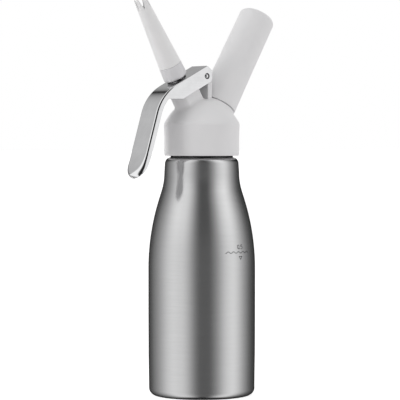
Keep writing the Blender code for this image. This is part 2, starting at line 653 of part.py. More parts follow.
def make_valve_pieces(valve_axis):
    """The spindle with its seal, collar and washer, and the seal, guide and spring that it runs in."""
    disc_foot = FOOT_DISC_TOP - FOOT_DISC_HEIGHT
    spindle = turned(
        "valve_spindle",
        [
            (STEM_BORE_RADIUS, STEM_TOP),
            (STEM_RADIUS, STEM_TOP),
            (STEM_RADIUS, FOOT_DISC_TOP),
            (FOOT_DISC_RADIUS, FOOT_DISC_TOP),
            (FOOT_DISC_RADIUS, disc_foot),
            (0, disc_foot),
            (0, SEAT_HEIGHT + STEM_BORE_LIFT),
            (STEM_BORE_RADIUS, SEAT_HEIGHT + STEM_BORE_LIFT),
        ],
        SMALL_STEPS,
        valve_axis,
        True,
    )
    port_reach = STEM_RADIUS + OVERRUN
    for name, turn in (("stem_port_along", 0), ("stem_port_across", RIGHT_ANGLE)):
        port = prism(name, STEM_PORT_RADIUS, -port_reach, port_reach, SMALL_STEPS // 2, valve_axis)
        port.location = (0, 0, SEAT_HEIGHT + STEM_PORT_LIFT)
        port.rotation_euler = (RIGHT_ANGLE, 0, turn)
        boolean(spindle, port)
    finished(spindle, POLISHED_STEEL)
    seal_top = VALVE_SEAL_FOOT + VALVE_SEAL_HEIGHT
    seal = ring_outline(STEM_CLEAR_RADIUS, VALVE_SEAL_RADIUS, VALVE_SEAL_FOOT, seal_top)
    finished(turned_ring("valve_seal", seal, SMALL_STEPS, valve_axis), CLEAR_RUBBER)
    guide_seal_top = GUIDE_SEAL_FOOT + GUIDE_SEAL_HEIGHT
    guide_seal = ring_outline(STEM_CLEAR_RADIUS, GUIDE_RADIUS, GUIDE_SEAL_FOOT, guide_seal_top)
    finished(turned_ring("guide_seal", guide_seal, SMALL_STEPS, valve_axis), CLEAR_RUBBER)
    guide = ring_outline(STEM_CLEAR_RADIUS, GUIDE_RADIUS, GUIDE_FOOT, GUIDE_FOOT + GUIDE_HEIGHT)
    finished(turned_ring("spindle_guide", guide, SMALL_STEPS, valve_axis), GREY_PLASTIC)
    collar = [
        (STEM_CLEAR_RADIUS, PUSH_COLLAR_TOP),
        (PUSH_COLLAR_RADIUS, PUSH_COLLAR_TOP - PUSH_COLLAR_CROWN),
        (PUSH_COLLAR_RADIUS, PUSH_COLLAR_FOOT),
        (STEM_CLEAR_RADIUS, PUSH_COLLAR_FOOT),
    ]
    finished(turned_ring("push_collar", collar, SMALL_STEPS, valve_axis), POLISHED_STEEL)
    make_return_spring(valve_axis)


def make_return_spring(valve_axis):
    foot = SPRING_FOOT + SPRING_WIRE
    pitch = (PUSH_COLLAR_FOOT - GAP - SPRING_WIRE - foot) / SPRING_TURNS
    points = helix(SPRING_RADIUS, pitch, foot, SPRING_TURNS, SPRING_STEPS)
    print(f"return_spring: least gap to itself {least_gap(points, SPRING_WIRE, SPRING_STEPS) / MM:.2f} mm")
    finished(tube("return_spring", points, SPRING_WIRE, 1, valve_axis), POLISHED_STEEL)


def make_tip_adaptor(valve_axis):
    stub_top = ADAPTOR_TOP + STUB_HEIGHT
    adaptor = turned_ring(
        "tip_adaptor",
        [
            (STUB_BORE_RADIUS, stub_top),
            (STUB_RADIUS, stub_top),
            (STUB_RADIUS, ADAPTOR_TOP),
            (ADAPTOR_TOP_RADIUS, ADAPTOR_TOP),
            (ADAPTOR_FOOT_RADIUS, ADAPTOR_FOOT + ADAPTOR_CHAMFER),
            (ADAPTOR_FOOT_RADIUS - ADAPTOR_CHAMFER, ADAPTOR_FOOT),
            (STEM_CLEAR_RADIUS, ADAPTOR_FOOT),
            (STEM_CLEAR_RADIUS, WASHER_SEAT),
            (STUB_BORE_RADIUS, WASHER_SEAT),
        ],
        HEAD_STEPS,
        valve_axis,
    )
    flat_reach = (ADAPTOR_FOOT_RADIUS - ADAPTOR_FLAT_DEPTH) / math.cos(math.pi / ADAPTOR_FLATS)
    grip = prism(
        "adaptor_grip", flat_reach, ADAPTOR_FOOT - OVERRUN, stub_top + OVERRUN, ADAPTOR_FLATS, valve_axis
    )
    boolean(adaptor, grip, "INTERSECT")
    ridge = thread(
        "adaptor_ridge",
        STUB_RADIUS,
        TIP_THREAD_PITCH,
        ADAPTOR_TOP + TIP_THREAD_RISE,
        TIP_THREAD_TURNS,
        TIP_THREAD_WIRE,
        valve_axis,
    )
    boolean(adaptor, ridge, "UNION")
    finished(adaptor, WHITE_PLASTIC)
    washer = ring_outline(STUB_BORE_RADIUS, STEM_RADIUS, WASHER_FOOT, WASHER_FOOT + STEM_WASHER_HEIGHT)
    finished(turned_ring("stem_washer", washer, SMALL_STEPS, valve_axis), CLEAR_RUBBER)
    seal_bore = TIP_SEAL_RADIUS - TIP_SEAL_WIDTH
    seal = ring_outline(seal_bore, TIP_SEAL_RADIUS, TIP_FOOT, TIP_FOOT + TIP_SEAL_HEIGHT)
    finished(turned_ring("tip_seal", seal, SMALL_STEPS, valve_axis), CLEAR_RUBBER)


def make_decorating_tip(valve_axis):
    socket_top = TIP_FOOT + TIP_SOCKET_HEIGHT
    socket_radius = STUB_RADIUS + THREAD_GAP
    seal_recess = TIP_FOOT + TIP_SEAL_HEIGHT + GAP
    tip = turned_ring(
        "decorating_tip",
        [
            (TIP_END_RADIUS - TIP_WALL, TIP_TOP),
            (TIP_END_RADIUS, TIP_TOP),
            (TIP_FOOT_RADIUS, TIP_FOOT),
            (TIP_SEAL_RADIUS + GAP, TIP_FOOT),
            (TIP_SEAL_RADIUS + GAP, seal_recess),
            (socket_radius, seal_recess),
            (socket_radius, socket_top),
        ],
        HEAD_STEPS,
        valve_axis,
    )
    for i in range(TIP_PRONGS // 2):
        turn = math.pi * (i + 1 / 2) * 2 / TIP_PRONGS
        half_width = TIP_NOTCH_WIDTH / 2
        overrun_share = (TIP_NOTCH_DEPTH + OVERRUN) / TIP_NOTCH_DEPTH
        notch = plate(
            f"tip_notch_{i}",
            [
                (0, TIP_TOP - TIP_NOTCH_DEPTH),
                (half_width * overrun_share, TIP_TOP + OVERRUN),
                (-half_width * overrun_share, TIP_TOP + OVERRUN),
            ],
            TIP_FOOT_RADIUS,
        )
        notch.parent = valve_axis
        notch.matrix_parent_inverse.identity()
        notch.rotation_euler = (RIGHT_ANGLE, 0, turn)
        notch.location = (0, 0, 0)
        boolean(tip, notch)
    tip_groove = groove(
        "tip_groove",
        STUB_RADIUS,
        TIP_THREAD_PITCH,
        ADAPTOR_TOP + TIP_THREAD_RISE,
        TIP_THREAD_TURNS,
        TIP_THREAD_WIRE,
        THREAD_GAP,
        seal_recess,
        valve_axis,
    )
    boolean(tip, tip_groove)
    return finished(tip, WHITE_PLASTIC)


def lever_path(distance):
    """Where the lever's top face is at a distance from the pin: (u, v), and how far it has turned down."""
    tangent = BEND_RADIUS * math.tan(BEND_ANGLE / 2)
    start = BEND_CORNER - tangent
    if distance <= start:
        return distance, LEVER_RISE, 0.0
    bend_length = BEND_RADIUS * BEND_ANGLE
    angle = min(distance - start, bend_length) / BEND_RADIUS
    u = start + BEND_RADIUS * math.sin(angle)
    v = LEVER_RISE - BEND_RADIUS * (1 - math.cos(angle))
    rest = distance - start - bend_length
    if rest <= 0:
        return u, v, angle
    straight = min(rest, HANDLE_STRAIGHT)
    u += straight * math.cos(angle)
    v -= straight * math.sin(angle)
    turned_back = max(0.0, rest - HANDLE_STRAIGHT) / FLARE_RADIUS
    u += FLARE_RADIUS * (math.sin(angle) - math.sin(angle - turned_back))
    v -= FLARE_RADIUS * (math.cos(angle - turned_back) - math.cos(angle))
    return u, v, angle - turned_back


def cheek_depth(u, v, angle):
    """How deep the cheeks are: full height, then down to a level foot, then the handle's depth."""
    above_foot = v * math.cos(LEVER_TILT) - u * math.sin(LEVER_TILT) + CHEEK_FOOT_DROP
    slope = math.cos(angle + LEVER_TILT)
    to_foot = above_foot / slope if slope > 0 else CHEEK_HEIGHT
    return max(HANDLE_DEPTH, min(CHEEK_HEIGHT, to_foot))


def channel_section(half_width, depth, corner):
    """A channel's section as (across, inwards) points, from a cheek's edge over the top and back inside it."""
    inner_half = max(half_width - LEVER_WALL, LEVER_WALL / CORNER_STEPS)
    corner = min(corner, half_width)
    inner_corner = max(min(corner, inner_half) - LEVER_WALL, LEVER_WALL / CORNER_STEPS)
    turns = [math.pi / 2 * i / CORNER_STEPS for i in range(CORNER_STEPS + 1)]
    outer = [(half_width - corner * (1 - math.cos(a)), corner * (1 - math.sin(a))) for a in turns]
    inner = [
        (inner_half - inner_corner * (1 - math.cos(a)), LEVER_WALL + inner_corner * (1 - math.sin(a)))
        for a in reversed(turns)
    ]
    half = [(half_width, depth), *outer]
    inner_side = [*inner, (inner_half, depth)]
    left = [(-across, inwards) for across, inwards in half]
    back = [(-across, inwards) for across, inwards in reversed(inner_side)]
    return left + half[::-1] + inner_side[::-1] + back[::-1]


def lever_stations():
    """Distances along the lever's top face, closer together where it bends, flares and ends."""
    bend_start = BEND_CORNER - BEND_RADIUS * math.tan(BEND_ANGLE / 2)
    bend_length = BEND_RADIUS * BEND_ANGLE
    foot_start = (CHEEK_FOOT_DROP - (CHEEK_HEIGHT - LEVER_RISE) * math.cos(LEVER_TILT)) / math.sin(LEVER_TILT)
    flare_start = bend_start + bend_length + HANDLE_STRAIGHT
    end = flare_start + FLARE_LENGTH
    round_start = end - TIP_ROUND_LENGTH
    stations = [-LEVER_BACK, min(foot_start, bend_start)]
    stations += [bend_start + bend_length * i / BEND_STEPS for i in range(BEND_STEPS + 1)]
    stations += [flare_start + (round_start - flare_start) * i / FLARE_STEPS for i in range(FLARE_STEPS)]
    quarter = [math.pi / 2 * i / (TIP_STEPS + 1) for i in range(TIP_STEPS + 1)]
    stations += [round_start + TIP_ROUND_LENGTH * math.sin(a) for a in quarter]
    return stations, flare_start, round_start


def make_lever(valve_axis):
    """The lever's channel, lofted along its top face, with its stem hole, pin holes and trimmed back."""
    stations, flare_start, round_start = lever_stations()
    work = bmesh.new()
    rows = []
    for distance in stations:
        u, v, angle = lever_path(distance)
        past_round = max(0.0, distance - round_start) / TIP_ROUND_LENGTH
        half_width = LEVER_WIDTH / 2 * math.sqrt(1 - past_round**2)
        past_flare = max(0.0, distance - flare_start) / FLARE_LENGTH
        corner = LEVER_CORNER + (TIP_CORNER - LEVER_CORNER) * past_flare
        section = channel_section(half_width, cheek_depth(u, v, angle), corner)
        rows.append(
            [
                work.verts.new((u - inwards * math.sin(angle), across, v - inwards * math.cos(angle)))
                for across, inwards in section
            ]
        )
    for near, far in zip(rows, rows[1:]):
        for i in range(len(near)):
            j = (i + 1) % len(near)
            work.faces.new((near[i], near[j], far[j], far[i]))
    work.faces.new(rows[0])
    work.faces.new(list(reversed(rows[-1])))
    bmesh.ops.recalc_face_normals(work, faces=work.faces)
    mesh = bpy.data.meshes.new("lever")
    work.to_mesh(mesh)
    work.free()
    lever = linked("lever", mesh, None, PARTS)
    lever.location = (PIN_X, 0, PIN_Z)
    lever.rotation_euler = (0, LEVER_TILT, math.pi)
    cut_lever(lever, valve_axis)
    return finished(lever, POLISHED_STEEL)


def cut_lever(lever, valve_axis):
    stem_hole = prism(
        "lever_stem_hole",
        STEM_HOLE_LENGTH,
        PUSH_COLLAR_FOOT,
        ADAPTOR_TOP,
        SMALL_STEPS,
        valve_axis,
        STEM_HOLE_WIDTH / STEM_HOLE_LENGTH,
    )
    boolean(lever, stem_hole)
    boolean(lever, cross_cylinder("lever_pin_hole", PIN_RADIUS + GAP, LEVER_WIDTH, PIN_X, PIN_Z))
    along = Vector((-math.cos(LEVER_TILT), -math.sin(LEVER_TILT)))
    up = Vector((-math.sin(LEVER_TILT), math.cos(LEVER_TILT)))
    pin = Vector((PIN_X, PIN_Z))
    back_x = PIN_X + CHEEK_BACK
    far_x = back_x + 2 * LEVER_BACK
    chamfer_top = pin - along * PLATE_BACK + up * LEVER_RISE
    chamfer_end = chamfer_top + (chamfer_top - Vector((back_x, PIN_Z + CHEEK_BACK_RISE))) * 2
    cheek_foot = pin + up * (LEVER_RISE - CHEEK_HEIGHT)
    foot_end = cheek_foot - up * CHEEK_HEIGHT
    trim = plate(
        "lever_back_trim",
        [
            tuple(foot_end),
            tuple(cheek_foot),
            (back_x, PIN_Z - CHEEK_BACK_DROP),
            (back_x, PIN_Z + CHEEK_BACK_RISE),
            tuple(chamfer_end),
            (far_x, chamfer_end.y),
            (far_x, foot_end.y),
        ],
        LEVER_WIDTH,
    )
    boolean(lever, trim)


def make_hinge_pin():
    half_length = LEVER_WIDTH / 2 + PIN_PROUD
    pin = turned_ring(
        "hinge_pin", ring_outline(PIN_BORE_RADIUS, PIN_RADIUS, -half_length, half_length), SMALL_STEPS
    )
    pin.location = (PIN_X, 0, PIN_Z)
    pin.rotation_euler = (RIGHT_ANGLE, 0, 0)
    return finished(pin, POLISHED_STEEL)


def make_charger_socket(charger_axis):
    socket = turned_ring(
        "charger_socket",
        [
            (SOCKET_NECK_RADIUS, SOCKET_TOP),
            (SOCKET_RADIUS, SOCKET_TOP),
            (SOCKET_RADIUS, SOCKET_SHOULDER),
            (SOCKET_SHANK_RADIUS, SOCKET_SHOULDER),
            (SOCKET_SHANK_RADIUS, SOCKET_BORE_FOOT + GAP),
            (SOCKET_GAS_RADIUS, SOCKET_BORE_FOOT + GAP),
            (SOCKET_GAS_RADIUS, SOCKET_SEAT),
            (SOCKET_NECK_RADIUS, SOCKET_SEAT),
        ],
        HOLDER_STEPS,
        charger_axis,
    )
    ridge = thread(
        "socket_ridge",
        SOCKET_RADIUS,
        SOCKET_THREAD_PITCH,
        SOCKET_SHOULDER + SOCKET_THREAD_RISE,
        SOCKET_THREAD_TURNS,
        SOCKET_THREAD_WIRE,
        charger_axis,
    )
    boolean(socket, ridge, "UNION")
    finished(socket, POLISHED_STEEL)
    foot = CHARGER_BOSS_TOP + GAP
    washer = ring_outline(SOCKET_SHANK_RADIUS + GAP, SOCKET_RADIUS, foot, foot + SOCKET_WASHER_HEIGHT)
    finished(turned_ring("socket_washer", washer, HOLDER_STEPS, charger_axis), CLEAR_RUBBER)


def make_charging_valve(charger_axis):
    """The piercer, the seal round the charger's neck end and the umbrella valve inside the head."""
    needle_top = PIERCER_FOOT + PIERCER_HEIGHT
    piercer = [
        (PIERCER_BORE_RADIUS, needle_top),
        (PIERCER_NEEDLE_RADIUS, needle_top - PIERCER_NEEDLE_RADIUS),
        (PIERCER_NEEDLE_RADIUS, PIERCER_FOOT + PIERCER_BASE_HEIGHT),
        (PIERCER_RADIUS, PIERCER_FOOT + PIERCER_BASE_HEIGHT),
        (PIERCER_RADIUS, PIERCER_FOOT),
        (PIERCER_BORE_RADIUS, PIERCER_FOOT),
    ]
    finished(turned_ring("piercer", piercer, SMALL_STEPS, charger_axis), POLISHED_STEEL)
    seal_radius = SOCKET_NECK_RADIUS - GAP
    seal_top = CHARGER_SEAL_FOOT + CHARGER_SEAL_HEIGHT
    seal = ring_outline(CHARGER_SEAL_BORE, seal_radius, CHARGER_SEAL_FOOT, seal_top)
    finished(turned_ring("charger_seal", seal, SMALL_STEPS, charger_axis), CLEAR_RUBBER)
    disc_top = VALVE_FACE_HEIGHT - GAP
    stem_radius = GAS_HOLE_RADIUS - GAP
    umbrella = [
        (0, SOCKET_BORE_FOOT),
        (stem_radius, SOCKET_BORE_FOOT),
        (stem_radius, disc_top),
        (UMBRELLA_RADIUS, disc_top),
        (UMBRELLA_RADIUS, disc_top - UMBRELLA_EDGE),
        (stem_radius, disc_top - UMBRELLA_HEIGHT),
        (0, disc_top - UMBRELLA_HEIGHT),
    ]
    finished(turned("non_return_valve", umbrella, SMALL_STEPS, charger_axis), RED_RUBBER)


def cartridge_outline(inset):
    """The gas charger's side from the top of its round end down to its neck end, drawn in by an inset."""
    top = CHARGER_NECK_END + CHARGER_LENGTH
    end_radius = CHARGER_END_RADIUS - inset
    end = arc(CHARGER_RADIUS - CHARGER_END_RADIUS, top - CHARGER_END_RADIUS, end_radius, math.pi / 2, 0)
    shoulder_top = CHARGER_NECK_END + CHARGER_NECK_LENGTH + CHARGER_SHOULDER_LENGTH
    neck_top = CHARGER_NECK_END + CHARGER_NECK_LENGTH
    return [
        (0, top - inset),
        *end,
        (CHARGER_RADIUS - inset, shoulder_top),
        (CHARGER_NECK_RADIUS - inset, neck_top),
        (CHARGER_NECK_RADIUS - inset, CHARGER_NECK_END + inset),
        (CHARGER_HOLE_RADIUS, CHARGER_NECK_END + inset),
    ]


def make_gas_charger(charger_axis):
    outline = cartridge_outline(0) + cartridge_outline(CHARGER_WALL)[::-1]
    return finished(turned("gas_charger", outline, HOLDER_STEPS, charger_axis, True), POLISHED_STEEL)


def make_charger_holder(charger_axis):
    thread_top = SOCKET_TOP + HOLDER_THREAD_OVER
    corner_z = HOLDER_TOP - HOLDER_CROWN - HOLDER_END_RADIUS
    corner = arc(HOLDER_TOP_RADIUS - HOLDER_END_RADIUS, corner_z, HOLDER_END_RADIUS, math.pi / 2, 0)
    holder = turned(
        "charger_holder",
        [
            (0, HOLDER_TOP),
            *corner,
            (HOLDER_MIDDLE_RADIUS, (HOLDER_TOP + HOLDER_FOOT) / 2),
            (HOLDER_FOOT_RADIUS, HOLDER_FOOT + HOLDER_CHAMFER),
            (HOLDER_FOOT_RADIUS - HOLDER_CHAMFER, HOLDER_FOOT),
            (HOLDER_THREAD_RADIUS, HOLDER_FOOT),
            (HOLDER_THREAD_RADIUS, thread_top),
            (HOLDER_BORE_RADIUS, thread_top + HOLDER_THREAD_RADIUS - HOLDER_BORE_RADIUS),
            (HOLDER_BORE_RADIUS, HOLDER_ROOF_FOOT),
            (0, HOLDER_ROOF_FOOT),
        ],
        HOLDER_STEPS,
        charger_axis,
        True,
    )
    holder_groove = groove(
        "holder_groove",
        SOCKET_RADIUS,
        SOCKET_THREAD_PITCH,
        SOCKET_SHOULDER + SOCKET_THREAD_RISE,
        SOCKET_THREAD_TURNS,
        SOCKET_THREAD_WIRE,
        THREAD_GAP,
        HOLDER_FOOT,
        charger_axis,
    )
    boolean(holder, holder_groove)
    return finished(holder, WHITE_PLASTIC)


def make_dispenser():
    valve_axis = axis_empty("valve_axis", VALVE_FOOT, -VALVE_TILT)
    charger_axis = axis_empty("charger_axis", CHARGER_FOOT, CHARGER_TILT)
    make_bottle()
    make_head_gasket()
    make_head(valve_axis, charger_axis)
    make_valve_pieces(valve_axis)
    make_tip_adaptor(valve_axis)
    make_decorating_tip(valve_axis)
    make_lever(valve_axis)
    make_hinge_pin()
    make_charger_socket(charger_axis)
    make_charging_valve(charger_axis)
    make_gas_charger(charger_axis)
    make_charger_holder(charger_axis)


clear_scene()
PARTS = new_collection("whipped_cream_dispenser")
CUTTERS = new_collection("cutters")
make_dispenser()
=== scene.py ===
"""The whipped cream dispenser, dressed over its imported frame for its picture.

Sizes in the classes are in millimetres, unless their names say otherwise, and follow the part. Meshes are
made in metres, in the frame's own place: the origin is the centre of the bottle's base, +Z is up, XZ is the
plane of symmetry, and the lever and the tip are on the -X side.
"""

import json
import logging
import math
from dataclasses import dataclass
from enum import Enum
from typing import Any, Callable, Sequence

import bmesh
import bpy
import numpy as np
from mathutils import Matrix, Vector

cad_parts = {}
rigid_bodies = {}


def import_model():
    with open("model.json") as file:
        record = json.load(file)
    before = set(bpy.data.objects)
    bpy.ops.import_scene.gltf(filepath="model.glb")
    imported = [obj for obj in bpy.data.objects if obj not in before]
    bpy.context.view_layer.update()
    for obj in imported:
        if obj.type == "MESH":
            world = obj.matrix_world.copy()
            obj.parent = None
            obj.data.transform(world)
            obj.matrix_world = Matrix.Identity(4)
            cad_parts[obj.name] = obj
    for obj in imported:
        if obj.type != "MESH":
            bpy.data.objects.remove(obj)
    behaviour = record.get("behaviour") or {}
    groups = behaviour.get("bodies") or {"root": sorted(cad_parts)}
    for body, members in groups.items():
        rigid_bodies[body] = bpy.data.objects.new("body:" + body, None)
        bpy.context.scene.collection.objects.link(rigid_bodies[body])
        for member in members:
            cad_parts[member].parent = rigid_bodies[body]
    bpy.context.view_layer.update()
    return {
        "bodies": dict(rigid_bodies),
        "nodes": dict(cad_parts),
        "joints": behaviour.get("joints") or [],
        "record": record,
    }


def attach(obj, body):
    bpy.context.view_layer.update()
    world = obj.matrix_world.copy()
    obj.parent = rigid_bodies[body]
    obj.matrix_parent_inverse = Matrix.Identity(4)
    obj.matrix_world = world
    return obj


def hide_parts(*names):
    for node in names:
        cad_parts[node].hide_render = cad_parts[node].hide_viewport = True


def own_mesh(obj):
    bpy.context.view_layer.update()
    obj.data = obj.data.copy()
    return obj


LOG = logging.getLogger("dispenser")
MM = 0.001
TURN = 2.0 * math.pi

Colour = tuple[float, float, float]
Corner = tuple[float, float, float]
Outline = list[tuple[float, float]]
Distance = Callable[[np.ndarray], np.ndarray]


# Shader graphs


class Field:
    """A socket of a shader graph. Python's operators on it add the Math nodes that work them out."""

    def __init__(self, graph: "Graph", socket: bpy.types.NodeSocket) -> None:
        """Keeps the graph and the socket."""
        self.graph = graph
        self.socket = socket

    def _math(self, operation: str, first: Any, second: Any = 0.0) -> "Field":
        """Adds a Math node.

        Args:
            operation: The node's operation.
            first: Its first value or link.
            second: Its second value or link.

        Returns:
            The node's result.
        """
        node = self.graph.node("ShaderNodeMath", {"operation": operation}, {0: first, 1: second})
        return self.graph.output(node)

    def __add__(self, other: Any) -> "Field":
        """The sum."""
        return self._math("ADD", self, other)

    def __radd__(self, other: Any) -> "Field":
        """The sum, with a number first."""
        return self._math("ADD", other, self)

    def __sub__(self, other: Any) -> "Field":
        """The difference."""
        return self._math("SUBTRACT", self, other)

    def __rsub__(self, other: Any) -> "Field":
        """The difference, with a number first."""
        return self._math("SUBTRACT", other, self)

    def __mul__(self, other: Any) -> "Field":
        """The product."""
        return self._math("MULTIPLY", self, other)

    def __rmul__(self, other: Any) -> "Field":
        """The product, with a number first."""
        return self._math("MULTIPLY", other, self)

    def hypot(self, other: "Field") -> "Field":
        """The length of the two fields taken as sides of a right angle."""
        return self._math("SQRT", self * self + other * other)

    def spread(self, low: float, high: float) -> "Field":
        """The field, from low to high, brought to 0 to 1 and held there.

        Args:
            low: What becomes 0.
            high: What becomes 1.

        Returns:
            The field's share of the way.
        """
        node = self.graph.node(
            "ShaderNodeMapRange",
            {"clamp": True, "interpolation_type": "SMOOTHSTEP"},
            {"Value": self, "From Min": low, "From Max": high},
        )
        return self.graph.output(node)


class Graph:
    """The nodes of one material or of the world."""

    def __init__(self, tree: bpy.types.NodeTree) -> None:
        """Empties the tree and keeps it."""
        self.tree = tree
        tree.nodes.clear()

    def node(
        self, kind: str, settings: dict[str, Any] | None = None, inputs: dict[Any, Any] | None = None
    ) -> bpy.types.Node:
        """Adds a node.

        Args:
            kind: The node's type.
            settings: Its own settings, which are set first.
            inputs: What its sockets hold, by name or number: a value, or a Field to link.

        Returns:
            The node.
        """
        node = self.tree.nodes.new(kind)
        for name, value in (settings or {}).items():
            setattr(node, name, value)
        for key, value in (inputs or {}).items():
            if isinstance(value, Field):
                self.tree.links.new(value.socket, node.inputs[key])
            else:
                node.inputs[key].default_value = value
        return node

    def output(self, node: bpy.types.Node, key: Any = 0) -> Field:
        """A node's output as a Field."""
        return Field(self, node.outputs[key])

    def place(self) -> Field:
        """Where a point is on the piece, in metres along its own axes."""
        return self.output(self.node("ShaderNodeTexCoord"), "Object")

    def split(self, vector: Field) -> tuple[Field, Field, Field]:
        """A vector's three parts."""
        node = self.node("ShaderNodeSeparateXYZ", inputs={0: vector})
        return self.output(node, 0), self.output(node, 1), self.output(node, 2)

    def vector(self, x: Any, y: Any, z: Any) -> Field:
        """A vector from three parts."""
        return self.output(self.node("ShaderNodeCombineXYZ", inputs={0: x, 1: y, 2: z}))

    def noise(self, vector: Field, scale: float, detail: float = 2.0, roughness: float = 0.5) -> Field:
        """Smooth noise.

        Args:
            vector: Where it is read.
            scale: How many of its features fit in one unit.
            detail: How many finer layers it has.
            roughness: How strong the finer layers are.

        Returns:
            The noise, from 0 to 1.
        """
        inputs = {"Vector": vector, "Scale": scale, "Detail": detail, "Roughness": roughness}
        return self.output(self.node("ShaderNodeTexNoise", {"noise_dimensions": "3D"}, inputs), 0)

    def mix(self, factor: Field, first: Any, second: Any) -> Field:
        """Two colours, each given or a Field, mixed by a factor.

        Args:
            factor: The second colour's share.
            first: The first colour.
            second: The second colour.

        Returns:
            The mixed colour.
        """
        pair = [colour if isinstance(colour, Field) else (*colour, 1.0) for colour in (first, second)]
        node = self.node("ShaderNodeMix", {"data_type": "RGBA"}, {0: factor, 6: pair[0], 7: pair[1]})
        return self.output(node, 2)

    def bump(self, height: Field, depth: float, strength: float) -> Field:
        """A normal bent by a height.

        Args:
            height: The height, from 0 to 1.
            depth: What a height of 1 stands for, in millimetres.
            strength: How much of the bend shows.

        Returns:
            The normal.
        """
        inputs = {"Height": height, "Distance": depth * MM, "Strength": strength}
        return self.output(self.node("ShaderNodeBump", inputs=inputs))

    def surface(self, inputs: dict[str, Any]) -> None:
        """Adds the Principled shader with what its sockets hold, and the output."""
        shader = self.output(self.node("ShaderNodeBsdfPrincipled", inputs=inputs))
        self.node("ShaderNodeOutputMaterial", inputs={"Surface": shader})


def new_material(name: str) -> tuple[bpy.types.Material, Graph]:
    """A material and its emptied graph.

    Args:
        name: The material's name.

    Returns:
        The material and its graph.
    """
    material = bpy.data.materials.new(name)
    material.use_nodes = True
    return material, Graph(material.node_tree)


# Finishes


@dataclass(frozen=True)
class BrushedSteel:
    """Stainless steel brushed round the piece's Z axis: long level lines in its tone, gloss and relief, and
    painted shade at the neck's root.
    """

    dark: Colour = (0.625, 0.625, 0.629)
    light: Colour = (0.665, 0.665, 0.669)
    roughness: float = 0.19
    roughness_spread: float = 0.08
    line_height: float = 0.16
    band_height: float = 1.3
    line_length: float = 22.0
    depth: float = 0.006
    strength: float = 0.18
    # Painted shade: in the crevice at the neck's root, the base colour is darkened to this tone between the
    # foot and top heights and inside the radius.
    painted_shade_foot: float = 178.0
    painted_shade_top: float = 180.4
    painted_shade_radius: float = 31.0
    painted_shade_tone: float = 0.03
    painted_shade_foot_blend: float = 0.2
    painted_shade_top_blend: float = 1.0
    painted_shade_side_blend: float = 0.8

    def material(self, name: str) -> bpy.types.Material:
        """Builds the material.

        Args:
            name: The material's name.

        Returns:
            The material, with painted shade darkening its colour in the crevice at the neck's root, under the
            head's collar.
        """
        material, graph = new_material(name)
        x, y, z = graph.split(graph.place())
        # The mask of the painted shade at the neck's root.
        foot, top, reach = self.painted_shade_foot * MM, self.painted_shade_top * MM, self.painted_shade_radius * MM
        blend = self.painted_shade_foot_blend * MM
        painted_shade_mask = z.spread(foot - blend, foot + blend)
        painted_shade_mask = painted_shade_mask * (1.0 - z.spread(top - self.painted_shade_top_blend * MM, top))
        painted_shade_mask = painted_shade_mask * (1.0 - x.hypot(y).spread(reach - self.painted_shade_side_blend * MM, reach))
        stretch = 1.0 / (self.line_length * MM)
        line, band = 1.0 / (self.line_height * MM), 1.0 / (self.band_height * MM)
        lines = graph.noise(graph.vector(x * stretch, y * stretch, z * line), 1.0, 3.0)
        bands = graph.noise(graph.vector(x * stretch, y * stretch, z * band), 1.0, 1.0)
        tone = (lines * 0.75 + bands * 0.25).spread(0.25, 0.75)
        steel = graph.mix(tone, self.dark, self.light)
        # The base colour takes the painted shade's dark tone where the mask is set.
        graph.surface(
            {
                "Base Color": graph.mix(painted_shade_mask, steel, (self.painted_shade_tone,) * 3),
                "Metallic": 1.0,
                "Roughness": self.roughness + (lines - 0.5) * self.roughness_spread,
                "Normal": graph.bump(lines, self.depth, self.strength),
            }
        )
        return material


@dataclass(frozen=True)
class PolishedSteel:
    """Bright stainless steel with a faint cloudiness and hairline marks along the piece's X axis."""

    dark: Colour = (0.700, 0.700, 0.708)
    light: Colour = (0.775, 0.775, 0.783)
    roughness: float = 0.10
    roughness_spread: float = 0.06
    hairline: float = 0.16
    hairline_length: float = 30.0
    cloud: float = 6.0
    depth: float = 0.002
    strength: float = 0.12

    def material(self, name: str) -> bpy.types.Material:
        """Builds the material.

        Args:
            name: The material's name.

        Returns:
            The material.
        """
        material, graph = new_material(name)
        place = graph.place()
        x, y, z = graph.split(place)
        across = 1.0 / (self.hairline * MM)
        ahead = 1.0 / (self.hairline_length * MM)
        hairs = graph.noise(graph.vector(x * ahead, y * across, z * across), 1.0, 2.0)
        clouds = graph.noise(place, 1.0 / (self.cloud * MM), 3.0)
        graph.surface(
            {
                "Base Color": graph.mix((hairs * 0.5 + clouds * 0.5).spread(0.3, 0.7), self.dark, self.light),
                "Metallic": 1.0,
                "Roughness": self.roughness + (clouds - 0.5) * self.roughness_spread,
                "Normal": graph.bump(hairs, self.depth, self.strength),
            }
        )
        return material


@dataclass(frozen=True)
class PressedSteel:
    """Steel left dull by the press, with a mottled tone."""

    dark: Colour = (0.70, 0.70, 0.705)
    light: Colour = (0.78, 0.78, 0.785)
    roughness: float = 0.5
    metallic: float = 0.15
    mottle: float = 1.8

    def material(self, name: str) -> bpy.types.Material:
        """Builds the material.

        Args:
            name: The material's name.

        Returns:
            The material.
        """
        material, graph = new_material(name)
        mottle = graph.noise(graph.place(), 1.0 / (self.mottle * MM), 4.0, 0.6)
        graph.surface(
            {
                "Base Color": graph.mix(mottle.spread(0.3, 0.7), self.dark, self.light),
                "Metallic": self.metallic,
                "Roughness": self.roughness + (mottle - 0.5) * 0.2,
            }
        )
        return material


